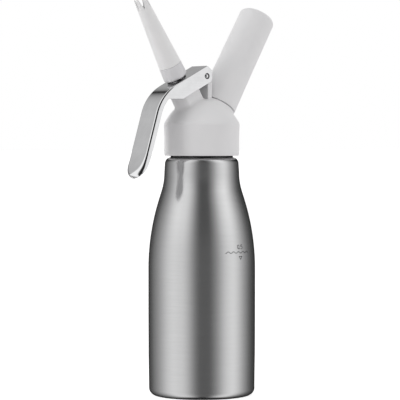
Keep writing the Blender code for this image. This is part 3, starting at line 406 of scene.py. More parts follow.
@dataclass(frozen=True)
class MouldedPlastic:
    """Satin moulded plastic: a fine grain in its relief, and a slight cloudiness in its tone and gloss."""

    colour: Colour
    shade: Colour
    roughness: float = 0.42
    roughness_spread: float = 0.10
    grain: float = 0.35
    cloud: float = 11.0
    depth: float = 0.012
    strength: float = 0.22

    def material(self, name: str) -> bpy.types.Material:
        """Builds the material.

        Args:
            name: The material's name.

        Returns:
            The material.
        """
        material, graph = new_material(name)
        place = graph.place()
        grain = graph.noise(place, 1.0 / (self.grain * MM), 2.0)
        clouds = graph.noise(place, 1.0 / (self.cloud * MM), 3.0)
        graph.surface(
            {
                "Base Color": graph.mix(clouds.spread(0.3, 0.7), self.shade, self.colour),
                "Metallic": 0.0,
                "IOR": 1.49,
                "Roughness": self.roughness + (grain - 0.5) * self.roughness_spread,
                "Normal": graph.bump(grain, self.depth, self.strength),
            }
        )
        return material


@dataclass(frozen=True)
class SiliconeRubber:
    """Moulded silicone rubber with a dull skin and a trace of dust."""

    colour: Colour
    dust: Colour
    roughness: float = 0.55
    speck: float = 0.5
    depth: float = 0.02
    strength: float = 0.2

    def material(self, name: str) -> bpy.types.Material:
        """Builds the material.

        Args:
            name: The material's name.

        Returns:
            The material.
        """
        material, graph = new_material(name)
        specks = graph.noise(graph.place(), 1.0 / (self.speck * MM), 4.0, 0.6)
        graph.surface(
            {
                "Base Color": graph.mix(specks.spread(0.55, 0.85), self.colour, self.dust),
                "Metallic": 0.0,
                "Roughness": self.roughness + (specks - 0.5) * 0.15,
                "Normal": graph.bump(specks, self.depth, self.strength),
            }
        )
        return material


@dataclass(frozen=True)
class Ink:
    """Dark ink, printed or etched, a little uneven in its cover."""

    colour: Colour = (0.055, 0.055, 0.058)
    worn: Colour = (0.12, 0.12, 0.125)
    roughness: float = 0.5
    fleck: float = 0.3

    def material(self, name: str) -> bpy.types.Material:
        """Builds the material.

        Args:
            name: The material's name.

        Returns:
            The material.
        """
        material, graph = new_material(name)
        flecks = graph.noise(graph.place(), 1.0 / (self.fleck * MM), 2.0)
        graph.surface(
            {
                "Base Color": graph.mix(flecks.spread(0.4, 0.8), self.colour, self.worn),
                "Metallic": 0.0,
                "Roughness": self.roughness + (flecks - 0.5) * 0.2,
            }
        )
        return material


class Slot(Enum):
    """The record's material slots."""

    BOTTLE_STEEL = "bottle_steel"
    POLISHED_STEEL = "polished_steel"
    CHARGER_STEEL = "charger_steel"
    HEAD_PLASTIC = "head_plastic"
    TIP_PLASTIC = "tip_plastic"
    ADAPTOR_PLASTIC = "adaptor_plastic"
    GUIDE_PLASTIC = "guide_plastic"
    RED_RUBBER = "red_rubber"
    CLEAR_RUBBER = "clear_rubber"


class Mirrors(Enum):
    """The groups of pieces that mirror screens of their own."""

    BOTTLE = "bottle"
    LEVER = "lever"
    PLASTICS = "plastics"


MIRRORS = {
    Slot.BOTTLE_STEEL: Mirrors.BOTTLE,
    Slot.POLISHED_STEEL: Mirrors.LEVER,
    Slot.CHARGER_STEEL: Mirrors.LEVER,
}
FINISHES = {
    Slot.BOTTLE_STEEL: BrushedSteel(),
    Slot.POLISHED_STEEL: PolishedSteel(),
    Slot.CHARGER_STEEL: PolishedSteel(
        dark=(0.60, 0.61, 0.62), light=(0.68, 0.69, 0.70), roughness=0.24, cloud=3.0
    ),
    Slot.HEAD_PLASTIC: MouldedPlastic(colour=(0.812, 0.808, 0.814), shade=(0.798, 0.795, 0.803)),
    Slot.TIP_PLASTIC: MouldedPlastic(
        colour=(0.862, 0.860, 0.860), shade=(0.848, 0.847, 0.848), roughness=0.36
    ),
    Slot.ADAPTOR_PLASTIC: MouldedPlastic(
        colour=(0.735, 0.730, 0.745), shade=(0.712, 0.708, 0.724), roughness=0.38
    ),
    Slot.GUIDE_PLASTIC: MouldedPlastic(colour=(0.52, 0.53, 0.55), shade=(0.49, 0.50, 0.52)),
    Slot.RED_RUBBER: SiliconeRubber(colour=(0.42, 0.035, 0.03), dust=(0.55, 0.12, 0.10)),
    Slot.CLEAR_RUBBER: SiliconeRubber(colour=(0.72, 0.71, 0.68), dust=(0.80, 0.79, 0.77), roughness=0.42),
}


# Places and meshes


@dataclass(frozen=True)
class Axis:
    """A line in the plane of symmetry that leaves the bottle's axis at a height, tilted towards +X."""

    foot: float
    tilt_deg: float

    def matrix(self) -> Matrix:
        """Where a piece that is modelled upright along this axis goes, in metres."""
        lean = Matrix.Rotation(math.radians(self.tilt_deg), 4, "Y")
        return Matrix.Translation((0.0, 0.0, self.foot * MM)) @ lean

    def local(self, points: np.ndarray) -> np.ndarray:
        """Turns points of the whole object, in millimetres, into points along this axis.

        Args:
            points: An array of points, one a row.

        Returns:
            The points as (ahead, across, along) rows.
        """
        tilt = math.radians(self.tilt_deg)
        ahead = points[:, 0] * math.cos(tilt) - (points[:, 2] - self.foot) * math.sin(tilt)
        along = points[:, 0] * math.sin(tilt) + (points[:, 2] - self.foot) * math.cos(tilt)
        return np.stack([ahead, points[:, 1], along], axis=1)


UPRIGHT = Axis(0.0, 0.0)
VALVE_AXIS = Axis(194.834, -29.3)
CHARGER_AXIS = Axis(192.534, 29.7)
PIN = (-2.75, 238.634)


def new_object(
    name: str,
    vertices: np.ndarray,
    faces: list[Sequence[int]],
    matrix: Matrix,
    sharp_deg: float = 32.0,
) -> bpy.types.Object:
    """Makes a smooth-shaded mesh object, creased where its faces meet at more than an angle.

    Args:
        name: The object's name.
        vertices: Its points in millimetres, one a row.
        faces: Its faces, as rows of point numbers.
        matrix: Where it goes.
        sharp_deg: The angle that shading is creased from.

    Returns:
        The object.
    """
    mesh = bpy.data.meshes.new(name)
    mesh.from_pydata((vertices * MM).tolist(), [], faces)
    mesh.validate()
    shade(mesh, sharp_deg)
    mesh.transform(matrix)
    obj = bpy.data.objects.new(name, mesh)
    bpy.context.scene.collection.objects.link(obj)
    return obj


def shade(mesh: bpy.types.Mesh, sharp_deg: float) -> None:
    """Turns a mesh's faces out, and shades it smooth but for its sharp edges.

    Args:
        mesh: The mesh.
        sharp_deg: The angle that shading is creased from.
    """
    work = bmesh.new()
    work.from_mesh(mesh)
    bmesh.ops.recalc_face_normals(work, faces=work.faces)
    work.to_mesh(mesh)
    work.free()
    mesh.shade_smooth()
    mesh.set_sharp_from_angle(angle=math.radians(sharp_deg))


# Outlines and turned pieces


def arc(
    centre: tuple[float, float], radius: float, start_deg: float, end_deg: float, step_deg: float = 3.0
) -> Outline:
    """Points of an arc in the (r, z) plane.

    Args:
        centre: Its centre.
        radius: Its radius.
        start_deg: The angle that it starts at, from +r towards +z.
        end_deg: The angle that it ends at.
        step_deg: The most that two points are apart.

    Returns:
        The points.
    """
    count = max(2, math.ceil(abs(end_deg - start_deg) / step_deg))
    angles = np.radians(np.linspace(start_deg, end_deg, count + 1))
    return [(centre[0] + radius * math.cos(a), centre[1] + radius * math.sin(a)) for a in angles]


def rounded(corners: Sequence[Corner], closed: bool = True) -> Outline:
    """Rounds an outline's corners.

    Args:
        corners: Its corners as (r, z, corner radius).
        closed: Whether the last corner joins the first.

    Returns:
        The outline with an arc at each corner that has a radius.
    """
    outline: Outline = []
    count = len(corners)
    for i, (r, z, radius) in enumerate(corners):
        if radius <= 0 or (not closed and i in (0, count - 1)):
            outline.append((r, z))
            continue
        here = Vector((r, z))
        before = Vector(corners[i - 1][:2]) - here
        after = Vector(corners[(i + 1) % count][:2]) - here
        half = before.angle(after) / 2
        reach = min(radius / math.tan(half), 0.48 * before.length, 0.48 * after.length)
        start = here + before.normalized() * reach
        end = here + after.normalized() * reach
        centre = here + (before.normalized() + after.normalized()).normalized() * (reach / math.cos(half))
        first, last = start - centre, end - centre
        sweep = first.angle_signed(last)
        steps = max(2, math.ceil(abs(sweep) / math.radians(15.0)))
        for j in range(steps + 1):
            turned = first.copy()
            turned.rotate(Matrix.Rotation(-sweep * j / steps, 2))
            outline.append(tuple(centre + turned))
    return outline


def inset(outline: Outline, depth: float) -> Outline:
    """An outline moved by a depth to the right of the way it runs, for a shell's inner side.

    Args:
        outline: The outline.
        depth: How far it moves.

    Returns:
        The moved outline.
    """
    points = np.array(outline)
    runs = np.diff(points, axis=0)
    runs /= np.linalg.norm(runs, axis=1, keepdims=True)
    sides = np.stack([runs[:, 1], -runs[:, 0]], axis=1)
    before = np.vstack([sides[:1], sides])
    after = np.vstack([sides, sides[-1:]])
    mitres = before + after
    mitres /= np.sum(mitres * before, axis=1, keepdims=True)
    return [tuple(point) for point in points + mitres * depth]


@dataclass(frozen=True)
class Thread:
    """A round-topped ridge that winds up a round wall, or the groove that such a ridge turns in."""

    radius: float
    pitch: float
    foot: float
    turns: float
    height: float
    half_width: float
    lead_turns: float = 0.0
    fade_turns: float = 0.12

    def lift(self, angles: np.ndarray, heights: np.ndarray) -> np.ndarray:
        """How far the thread moves the wall outwards.

        Args:
            angles: Each point's angle about the axis.
            heights: Each point's height.

        Returns:
            The distances.
        """
        turn = np.mod(angles, TURN) / TURN
        level = (heights - self.foot) / self.pitch
        along = np.round(level - turn) + turn
        off = (level - along) * self.pitch / self.half_width
        start = np.clip((along + self.lead_turns) / self.fade_turns + 0.5, 0.0, 1.0)
        end = np.clip((self.turns - along) / self.fade_turns + 0.5, 0.0, 1.0)
        return self.height * np.sqrt(np.clip(1.0 - off**2, 0.0, None)) * start * end


def turned(
    name: str,
    outline: Outline,
    axis: Axis = UPRIGHT,
    steps: int = 96,
    closed: bool = True,
    threads: Sequence[Thread] = (),
) -> bpy.types.Object:
    """Turns an outline about an axis.

    Args:
        name: The piece's name.
        outline: Its (r, z) points.
        axis: The axis that it is turned about.
        steps: How many faces it has round the axis.
        closed: Whether the outline is a ring.
        threads: The threads on its straight walls.

    Returns:
        The piece.
    """
    points = []
    pairs = list(zip(outline, outline[1:] + outline[:1])) if closed else list(zip(outline, outline[1:]))
    for (r0, z0), (r1, z1) in pairs:
        wound = any(abs(r0 - t.radius) < 0.02 and abs(r1 - t.radius) < 0.02 for t in threads)
        parts = max(1, math.ceil(abs(z1 - z0) / 0.22)) if wound else 1
        points += [(r0 + (r1 - r0) * i / parts, z0 + (z1 - z0) * i / parts) for i in range(parts)]
    if not closed:
        points.append(outline[-1])
    flat = np.array(points)
    angles = np.linspace(0.0, TURN, steps, endpoint=False)
    radii = np.repeat(flat[:, :1], steps, axis=1)
    heights = np.repeat(flat[:, 1:], steps, axis=1)
    for thread in threads:
        on_wall = np.abs(flat[:, 0] - thread.radius) < 0.02
        radii[on_wall] += thread.lift(angles[None, :], heights[on_wall])
    vertices = np.stack([radii * np.cos(angles), radii * np.sin(angles), heights], axis=2).reshape(-1, 3)
    rows = len(points)
    row = np.arange(rows if closed else rows - 1)[:, None]
    column = np.arange(steps)[None, :]
    next_row, next_column = (row + 1) % rows, (column + 1) % steps
    corners = [row * steps + column, row * steps + next_column]
    corners += [next_row * steps + next_column, next_row * steps + column]
    faces = np.stack(corners, axis=2).reshape(-1, 4).tolist()
    obj = new_object(name, vertices, faces, axis.matrix())
    weld(obj.data)
    return obj


def weld(mesh: bpy.types.Mesh, apart: float = 0.0005) -> None:
    """Joins a mesh's points that are nearly in one place, such as those on its axis.

    Args:
        mesh: The mesh.
        apart: How near the points are, in millimetres.
    """
    work = bmesh.new()
    work.from_mesh(mesh)
    bmesh.ops.remove_doubles(work, verts=work.verts, dist=apart * MM)
    bmesh.ops.recalc_face_normals(work, faces=work.faces)
    work.to_mesh(mesh)
    work.free()


def ring(inner: float, outer: float, low: float, high: float, edge: float) -> Outline:
    """A plain ring's outline with rounded edges."""
    return rounded([(inner, high, edge), (outer, high, edge), (outer, low, edge), (inner, low, edge)])


# Solids given by the distance to their surface, which is less than nothing inside them


def joined(first: np.ndarray, second: np.ndarray, fillet: float) -> np.ndarray:
    """Two solids joined, with a round fillet where they meet."""
    near = np.hypot(np.maximum(fillet - first, 0.0), np.maximum(fillet - second, 0.0))
    return np.maximum(fillet, np.minimum(first, second)) - near


def common(first: np.ndarray, second: np.ndarray, edge: float) -> np.ndarray:
    """What two solids share, with a rounded edge where their surfaces cross."""
    near = np.hypot(np.maximum(edge + first, 0.0), np.maximum(edge + second, 0.0))
    return np.minimum(-edge, np.maximum(first, second)) + near


def less(first: np.ndarray, second: np.ndarray, edge: float) -> np.ndarray:
    """The first solid less the second, with a rounded edge."""
    return common(first, -second, edge)


@dataclass(frozen=True)
class Bore:
    """A round hole along an axis, from its foot to its top."""

    radius: float
    foot: float
    top: float = math.inf

    def distance(self, radial: np.ndarray, along: np.ndarray) -> np.ndarray:
        """The distance to its side and ends."""
        return np.maximum(radial - self.radius, np.maximum(along - self.top, self.foot - along))


class Net:
    """Meshes a solid that is given by its distance, on a grid of cubes."""

    EDGES = [
        ((0, 0, 0), (1, 0, 0)), ((0, 1, 0), (1, 1, 0)), ((0, 0, 1), (1, 0, 1)), ((0, 1, 1), (1, 1, 1)),
        ((0, 0, 0), (0, 1, 0)), ((1, 0, 0), (1, 1, 0)), ((0, 0, 1), (0, 1, 1)), ((1, 0, 1), (1, 1, 1)),
        ((0, 0, 0), (0, 0, 1)), ((1, 0, 0), (1, 0, 1)), ((0, 1, 0), (0, 1, 1)), ((1, 1, 0), (1, 1, 1)),
    ]

    def __init__(self, distance: Distance, low: Sequence[float], high: Sequence[float], cell: float) -> None:
        """Reads the distance at each of the grid's corners.

        Args:
            distance: The solid.
            low: The grid's lowest corner.
            high: Its highest corner.
            cell: The size of its cubes.
        """
        self.distance = distance
        self.low = np.array(low, dtype=float)
        self.cell = cell
        counts = [math.ceil((b - a) / cell) + 1 for a, b in zip(low, high)]
        lines = [a + cell * np.arange(n) for a, n in zip(low, counts)]
        self.values = np.empty(counts)
        for i, x in enumerate(lines[0]):
            y, z = np.meshgrid(lines[1], lines[2], indexing="ij")
            points = np.stack([np.full(y.size, x), y.ravel(), z.ravel()], axis=1)
            self.values[i] = distance(points).reshape(y.shape)

    def _slope(self, points: np.ndarray) -> np.ndarray:
        """The distance's slope at points.

        Args:
            points: The points, in millimetres, one a row.

        Returns:
            The slopes, one a row.
        """
        step = 0.02
        slopes = []
        for axis in range(3):
            shift = np.zeros(3)
            shift[axis] = step
            slopes.append((self.distance(points + shift) - self.distance(points - shift)) / (2 * step))
        return np.stack(slopes, axis=1)

    def _settled(self, points: np.ndarray) -> np.ndarray:
        """Points moved onto the surface, by less than a cube each.

        Args:
            points: The points, in millimetres, one a row.

        Returns:
            The moved points.
        """
        start = points.copy()
        for _ in range(4):
            slope = self._slope(points)
            size = np.maximum(np.sum(slope**2, axis=1, keepdims=True), 0.2)
            points = points - slope * self.distance(points)[:, None] / size
            points = start + np.clip(points - start, -0.7 * self.cell, 0.7 * self.cell)
        return points

    def mesh(self) -> tuple[np.ndarray, list[Sequence[int]]]:
        """Finds the surface.

        Returns:
            Its points, and its faces as rows of point numbers.
        """
        inside = self.values < 0
        corner_sum = np.zeros([n - 1 for n in inside.shape], dtype=np.int8)
        for i in (0, 1):
            for j in (0, 1):
                for k in (0, 1):
                    block = inside[i : inside.shape[0] - 1 + i, j : inside.shape[1] - 1 + j]
                    corner_sum += block[:, :, k : inside.shape[2] - 1 + k]
        crossed = (corner_sum > 0) & (corner_sum < 8)
        cubes = np.argwhere(crossed)
        number = np.full(crossed.shape, -1, dtype=int)
        number[crossed] = np.arange(len(cubes))
        total = np.zeros((len(cubes), 3))
        hits = np.zeros((len(cubes), 1))
        for start, end in self.EDGES:
            first = self.values[tuple((cubes + start).T)]
            second = self.values[tuple((cubes + end).T)]
            cut = (first < 0) != (second < 0)
            share = np.where(cut, first / np.where(cut, first - second, 1.0), 0.0)[:, None]
            total += cut[:, None] * (np.array(start) + share * (np.array(end) - np.array(start)))
            hits += cut[:, None]
        points = self.low + (cubes + total / hits) * self.cell
        faces = [self._walls(inside, number, axis) for axis in range(3)]
        return self._settled(points), np.concatenate(faces).tolist()

    @staticmethod
    def _walls(inside: np.ndarray, number: np.ndarray, axis: int) -> np.ndarray:
        """The faces round those grid lines along one axis that cross the surface.

        Args:
            inside: Whether each corner is in the solid.
            number: Each cube's point number.
            axis: The axis, 0 to 2.

        Returns:
            The faces, four point numbers a row.
        """
        turned_inside = np.moveaxis(inside, axis, 0)
        turned_number = np.moveaxis(number, axis, 0)
        crossing = turned_inside[:-1, 1:-1, 1:-1] != turned_inside[1:, 1:-1, 1:-1]
        i, j, k = np.nonzero(crossing)
        near = turned_number[i, j, k], turned_number[i, j + 1, k]
        far = turned_number[i, j + 1, k + 1], turned_number[i, j, k + 1]
        return np.stack([*near, *far], axis=1)


def netted(
    name: str,
    distance: Distance,
    low: Sequence[float],
    high: Sequence[float],
    cell: float,
    axis: Axis = UPRIGHT,
) -> bpy.types.Object:
    """Makes a piece from the distance to its surface, its points settled onto that surface.

    Args:
        name: The piece's name.
        distance: The solid.
        low: The lowest corner of a box round it.
        high: The highest corner.
        cell: How fine its faces are.
        axis: The axis that it stands along.

    Returns:
        The piece.
    """
    points, faces = Net(distance, low, high, cell).mesh()
    return new_object(name, points, faces, axis.matrix(), sharp_deg=60.0)


# The dispenser's pieces


class Dresser:
    """Puts finished pieces in the place of the frame's nodes, on the bodies that carry them."""

    def __init__(self, frame: dict[str, Any], mirrors: dict[Mirrors, bpy.types.Collection]) -> None:
        """Reads which body carries each node, and makes the finishes.

        Args:
            frame: The loaded frame.
            mirrors: The collection of each group's pieces.
        """
        bodies = frame["record"]["behaviour"]["bodies"]
        self.body_of = {node: body for body, nodes in bodies.items() for node in nodes}
        self.materials = {slot: finish.material(slot.value) for slot, finish in FINISHES.items()}
        self.mirrors = mirrors

    def put(self, piece: bpy.types.Object, node: str, slot: Slot, screened: bool = True) -> None:
        """Dresses a piece and puts it in a node's place.

        Args:
            piece: The piece.
            node: The node that it stands for.
            slot: Its finish, which it takes unless it has its own.
            screened: Whether it mirrors the screens. A piece deep inside mirrors only the dark round it.
        """
        if not piece.data.materials:
            piece.data.materials.append(self.materials[slot])
        if screened:
            self.mirrors[MIRRORS.get(slot, Mirrors.PLASTICS)].objects.link(piece)
        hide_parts(node)
        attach(piece, self.body_of[node])
        LOG.info("%s stands for %s on %s", piece.name, node, self.body_of[node])


@dataclass
class Bottle:
    """The steel bottle with its threaded neck."""

    radius: float = 40.0
    wall: float = 1.0
    base_corner: float = 5.6
    base_draft: float = 0.5
    base_draft_height: float = 26.0
    straight_height: float = 95.0
    shoulder_deg: float = 17.2
    shoulder_radius: float = 172.0
    shoulder_straight: float = 7.3
    waist_radius: float = 47.0
    ledge_straight: float = 7.6
    ledge_radius: float = 3.7
    ledge_corner: float = 4.6
    ledge_draw: float = 0.42
    neck_radius: float = 23.4
    neck_height: float = 15.0
    rim_edge: float = 0.4

    def heights(self) -> tuple[float, float, float, float]:
        """The waist's start and end, the ledge's height and its outer radius.

        Returns:
            The four sizes, in that order.
        """
        tilt = math.radians(self.shoulder_deg)
        start = self.straight_height + self.shoulder_radius * math.sin(tilt)
        start += self.shoulder_straight * math.cos(tilt)
        end = start + self.waist_radius * math.sin(tilt)
        outer = self.radius - (self.shoulder_radius + self.waist_radius) * (1 - math.cos(tilt))
        outer -= self.shoulder_straight * math.sin(tilt)
        return start, end, end + self.ledge_straight + self.ledge_radius, outer

    def shoulder_inset(self, height: float) -> float:
        """How far the shoulder has drawn in from the straight side at a height."""
        above = max(0.0, height - self.straight_height)
        return self.shoulder_radius - math.sqrt(self.shoulder_radius**2 - above**2)

    def side(self) -> Outline:
        """The outer side, from the rim down to the middle of the base.

        Returns:
            Its (r, z) points.
        """
        _, waist_end, ledge, outer = self.heights()
        base = (self.radius - self.base_draft - self.base_corner, self.base_corner)
        corner = self.ledge_corner
        corner_r = outer - self.ledge_draw - corner
        root = math.degrees(math.acos((self.neck_radius - corner_r) / corner))
        side = [(self.neck_radius, ledge + self.neck_height)]
        side += arc((corner_r, ledge - corner), corner, root, 3, 8)
        waist = (outer + self.waist_radius, waist_end)
        side += arc(waist, self.waist_radius, 180, 180 + self.shoulder_deg, 2)
        centre = (self.radius - self.shoulder_radius, self.straight_height)
        side += arc(centre, self.shoulder_radius, self.shoulder_deg, 0, 0.7)
        side += [(self.radius - 0.02, 60.0), (self.radius - 0.12, self.base_draft_height + 6.0)]
        side += arc(base, self.base_corner, 2, -90, 5)
        return side + [(0.0, 0.0)]

    def make(self, dresser: Dresser) -> None:
        """Builds the shell and its neck thread, and dresses them.

        Args:
            dresser: What puts the pieces in place.
        """
        ledge = self.heights()[2]
        outer = self.side()
        inner = inset(outer, self.wall)
        inner[0] = (self.neck_radius - self.wall, outer[0][1])
        inner[-1] = (0.0, self.wall)
        outline = outer + inner[::-1]
        neck = Thread(self.neck_radius, 4.0, ledge + 4.0, 2.0, 0.9, 0.9)
        dresser.put(turned("bottle_shell", outline, steps=224, closed=False, threads=[neck]), "bottle",
                    Slot.BOTTLE_STEEL)


@dataclass
class FillMark:
    """The level mark on the bottle: a wavy line, the number 0.5 over it, and a small arrow under it."""

    radius: float = 40.0
    proud: float = 0.02
    start_deg: float = 260.2
    end_deg: float = 294.3
    height: float = 108.2
    wave_height: float = 0.62
    waves: int = 5
    stroke: float = 0.46
    number_deg: float = 280.2
    number_height: float = 112.2
    digit_height: float = 2.9
    digit_width: float = 1.7
    arrow_height: float = 104.4
    arrow_size: float = 1.5

    def strokes(self) -> list[tuple[Outline, bool]]:
        """The mark's strokes as (round the bottle, up) points in millimetres, and whether each is closed.

        Returns:
            The strokes.
        """
        span = math.radians(self.end_deg - self.start_deg) * self.radius
        wave = [
            (span * i / 100, self.height - self.wave_height * math.cos(TURN * self.waves * i / 100))
            for i in range(101)
        ]
        middle = math.radians(self.number_deg - self.start_deg) * self.radius
        width, tall = self.digit_width, self.digit_height / 2
        zero = [
            (middle - 1.9 + width / 2 * math.cos(a), self.number_height + tall * math.sin(a))
            for a in np.linspace(0, TURN, 24, endpoint=False)
        ]
        dot = [(middle - 0.35 + 0.16 * math.cos(a), self.number_height - tall + 0.1 + 0.16 * math.sin(a))
               for a in np.linspace(0, TURN, 8, endpoint=False)]
        left = middle + 0.7
        five = [(left + width, self.number_height + tall), (left + 0.15, self.number_height + tall)]
        five += [(left, self.number_height + 0.15)]
        five += [
            (left + width * 0.45 + width * 0.55 * math.cos(a), self.number_height - 0.45 + 1.0 * math.sin(a))
            for a in np.radians(np.linspace(125, -125, 14))
        ]
        size = self.arrow_size
        arrow = [(middle - size, self.arrow_height + size / 2), (middle + size, self.arrow_height + size / 2)]
        arrow += [(middle, self.arrow_height - size)]
        return [(wave, False), (zero, True), (dot, True), (five, False), (arrow, True)]

    @staticmethod
    def fine(points: Outline, closed: bool, step: float = 0.25) -> np.ndarray:
        """A stroke's points with more put between those that are further apart than a step.

        Args:
            points: The stroke's points.
            closed: Whether the last joins the first.
            step: The most that two points are apart.

        Returns:
            The points, one a row.
        """
        ends = points[1:] + points[:1] if closed else points[1:]
        path = []
        for start, end in zip(points, ends):
            parts = max(1, math.ceil(math.dist(start, end) / step))
            path += [tuple(a + (b - a) * i / parts for a, b in zip(start, end)) for i in range(parts)]
        return np.array(path if closed else path + [points[-1]])

    def make(self, dresser: Dresser) -> None:
        """Lays each stroke on the bottle as a thin ribbon, and dresses them as one piece.

        Args:
            dresser: What puts the pieces in place.
        """
        bottle = Bottle()
        vertices: list[tuple[float, float, float]] = []
        faces: list[Sequence[int]] = []
        for points, closed in self.strokes():
            path = self.fine(points, closed)
            ahead = np.roll(path, -1, axis=0) - path
            behind = path - np.roll(path, 1, axis=0)
            if not closed:
                ahead[-1], behind[0] = behind[-1], ahead[0]
            run = ahead / np.linalg.norm(ahead, axis=1, keepdims=True)
            run += behind / np.linalg.norm(behind, axis=1, keepdims=True)
            run /= np.linalg.norm(run, axis=1, keepdims=True)
            side = np.stack([-run[:, 1], run[:, 0]], axis=1) * self.stroke / 2
            first = len(vertices)
            for near, far in zip(path - side, path + side):
                for s, z in (near, far):
                    angle = math.radians(self.start_deg) + s / self.radius
                    reach = self.radius - bottle.shoulder_inset(z) + self.proud
                    vertices.append((reach * math.cos(angle), reach * math.sin(angle), z))
            count = len(path)
            for i in range(count if closed else count - 1):
                a, b = first + 2 * i, first + 2 * ((i + 1) % count)
                faces.append((a, a + 1, b + 1, b))
        piece = new_object("fill_mark", np.array(vertices), faces, Matrix.Identity(4))
        piece.data.materials.append(Ink().material("fill_mark_ink"))
        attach(piece, "bottle")
        LOG.info("%s rides on the bottle", piece.name)


@dataclass
class HeadGasket:
    """The red gasket between the bottle's rim and the head."""

    foot: float = 193.334
    height: float = 2.4
    inner: float = 20.0
    outer: float = 23.4
    edge: float = 0.5

    def make(self, dresser: Dresser) -> None:
        """Builds and dresses the gasket."""
        outline = ring(self.inner, self.outer, self.foot, self.foot + self.height, self.edge)
        dresser.put(turned("gasket_ring", outline), "head_gasket", Slot.RED_RUBBER)


@dataclass
class Head:
    """The moulded head: collar, dome, valve boss, charger boss and hinge post, hollow inside."""

    collar_foot: float = 179.234
    collar_top: float = 203.034
    collar_radii: tuple[float, float, float] = (28.3, 28.05, 28.5)
    lip_height: float = 1.35
    lip_step: float = 0.35
    collar_edge: float = 0.7
    dome_radius: float = 53.0
    dome_start_deg: float = 27.8
    dome_height: float = 18.5
    dome_edge: float = 2.0
    bore: float = 23.8
    gasket_seat: float = 196.034
    cavity: float = 21.0
    cavity_wall: float = 4.5
    cavity_roof: float = 10.5
    boss_radius: float = 9.9
    boss_half_width: float = 9.0
    boss_back: float = 9.1
    boss_foot: float = 14.0
    boss_top: float = 39.11
    boss_edge: float = 0.8
    boss_fillet: float = 1.8
    post_front: float = -0.75
    post_back: float = 3.0
    post_foot: float = 218.5
    post_fillet: float = 0.8
    eye_radius: float = 4.4
    pin: tuple[float, float] = PIN
    pin_hole: float = 2.25
    charger_boss_radius: float = 14.0
    charger_boss_foot: float = 8.0
    charger_boss_top: float = 28.15
    charger_fillet: float = 2.2
    valve_bores: tuple[Bore, ...] = (Bore(7.2, 14.4, 20.0), Bore(5.4, 19.0, 25.0), Bore(7.5, 24.5))
    charger_bores: tuple[Bore, ...] = (Bore(15.1, 28.15), Bore(8.3, 24.0), Bore(2.3, 21.0, 25.0),
                                       Bore(6.2, 15.4, 21.6))
    groove_foot: float = 182.034
    groove_pitch: float = 4.0
    groove_turns: float = 2.07
    groove_lead_turns: int = 2
    groove_radius: float = 23.4
    groove_depth: float = 1.5
    lip_edge: float = 0.12
    foot_edge: float = 0.5
    side_edge: float = 0.3
    back_edge: float = 0.6
    eye_fillet: float = 1.0
    post_edge: float = 0.35
    hollow_edge: float = 0.3
    valve_bore_edge: float = 0.3
    charger_bore_edge: float = 0.2
    pin_hole_edge: float = 0.1
    groove_edge: float = 0.15
    cell: float = 0.5

    def _body(self, radial: np.ndarray, z: np.ndarray) -> np.ndarray:
        """The collar and the dome over it.

        Args:
            radial: Each point's distance from the axis.
            z: Its height.

        Returns:
            The distances, less than nothing inside.
        """
        middle = (self.collar_foot + self.collar_top) / 2
        bow = np.polyfit([self.collar_foot, middle, self.collar_top], self.collar_radii, 2)
        collar = radial - np.polyval(bow, np.clip(z, self.collar_foot, self.collar_top))
        start = math.radians(self.dome_start_deg)
        centre_r = self.collar_radii[2] - self.dome_radius * math.cos(start)
        centre_z = self.collar_top - self.dome_radius * math.sin(start)
        dome = np.hypot(radial - centre_r, z - centre_z) - self.dome_radius
        dome = common(dome, z - (self.collar_top + self.dome_height), self.dome_edge)
        body = common(dome, collar, self.collar_edge)
        lip_r = self.collar_radii[0] - self.lip_step
        body = less(body, np.maximum(z - (self.collar_foot + self.lip_height), lip_r - radial), self.lip_edge)
        return common(body, self.collar_foot - z, self.foot_edge)

    def _valve_boss(self, points: np.ndarray) -> np.ndarray:
        """The valve boss: round in front, and square behind, where it fits between the lever's cheeks.

        Args:
            points: The points, in millimetres, one a row.

        Returns:
            The distances, less than nothing inside.
        """
        ahead, across, along = VALVE_AXIS.local(points).T
        front = np.where(ahead < 0, np.hypot(ahead, across), np.abs(across)) - self.boss_radius
        plan = common(front, np.abs(across) - self.boss_half_width, self.side_edge)
        plan = common(plan, ahead - self.boss_back, self.back_edge)
        boss = common(plan, along - self.boss_top, self.boss_edge)
        return np.maximum(boss, self.boss_foot - along)

    def _charger_boss(self, points: np.ndarray) -> np.ndarray:
        """The round boss that the charger's holder meets.

        Args:
            points: The points, in millimetres, one a row.

        Returns:
            The distances, less than nothing inside.
        """
        ahead, across, along = CHARGER_AXIS.local(points).T
        side = np.hypot(ahead, across) - self.charger_boss_radius
        boss = common(side, along - self.charger_boss_top, self.side_edge)
        return np.maximum(boss, self.charger_boss_foot - along)

    def _post(self, points: np.ndarray) -> np.ndarray:
        """The hinge post with its eye.

        Args:
            points: The points, in millimetres, one a row.

        Returns:
            The distances, less than nothing inside.
        """
        x, y, z = points.T
        middle, half = (self.post_front + self.post_back) / 2, (self.post_back - self.post_front) / 2
        web = np.maximum(np.abs(x - middle) - half, np.maximum(z - self.pin[1], self.post_foot - z))
        eye = np.hypot(x - self.pin[0], z - self.pin[1]) - self.eye_radius
        return common(joined(web, eye, self.eye_fillet), np.abs(y) - self.boss_half_width, self.post_edge)

    def _hollow(self, radial: np.ndarray, z: np.ndarray) -> np.ndarray:
        """The collar's bore, the cavity and its domed roof.

        Args:
            radial: Each point's distance from the axis.
            z: Its height.

        Returns:
            The distances, less than nothing inside.
        """
        roof_foot = self.gasket_seat + self.cavity_wall
        bore = np.maximum(radial - self.bore, z - self.gasket_seat)
        wall = np.maximum(radial - self.cavity, z - roof_foot)
        across, up = radial / self.cavity, (z - roof_foot) / self.cavity_roof
        size = np.hypot(across, up)
        slope = np.maximum(np.hypot(across / self.cavity, up / self.cavity_roof), 1e-6)
        return np.minimum(np.minimum(bore, wall), size * (size - 1.0) / slope)

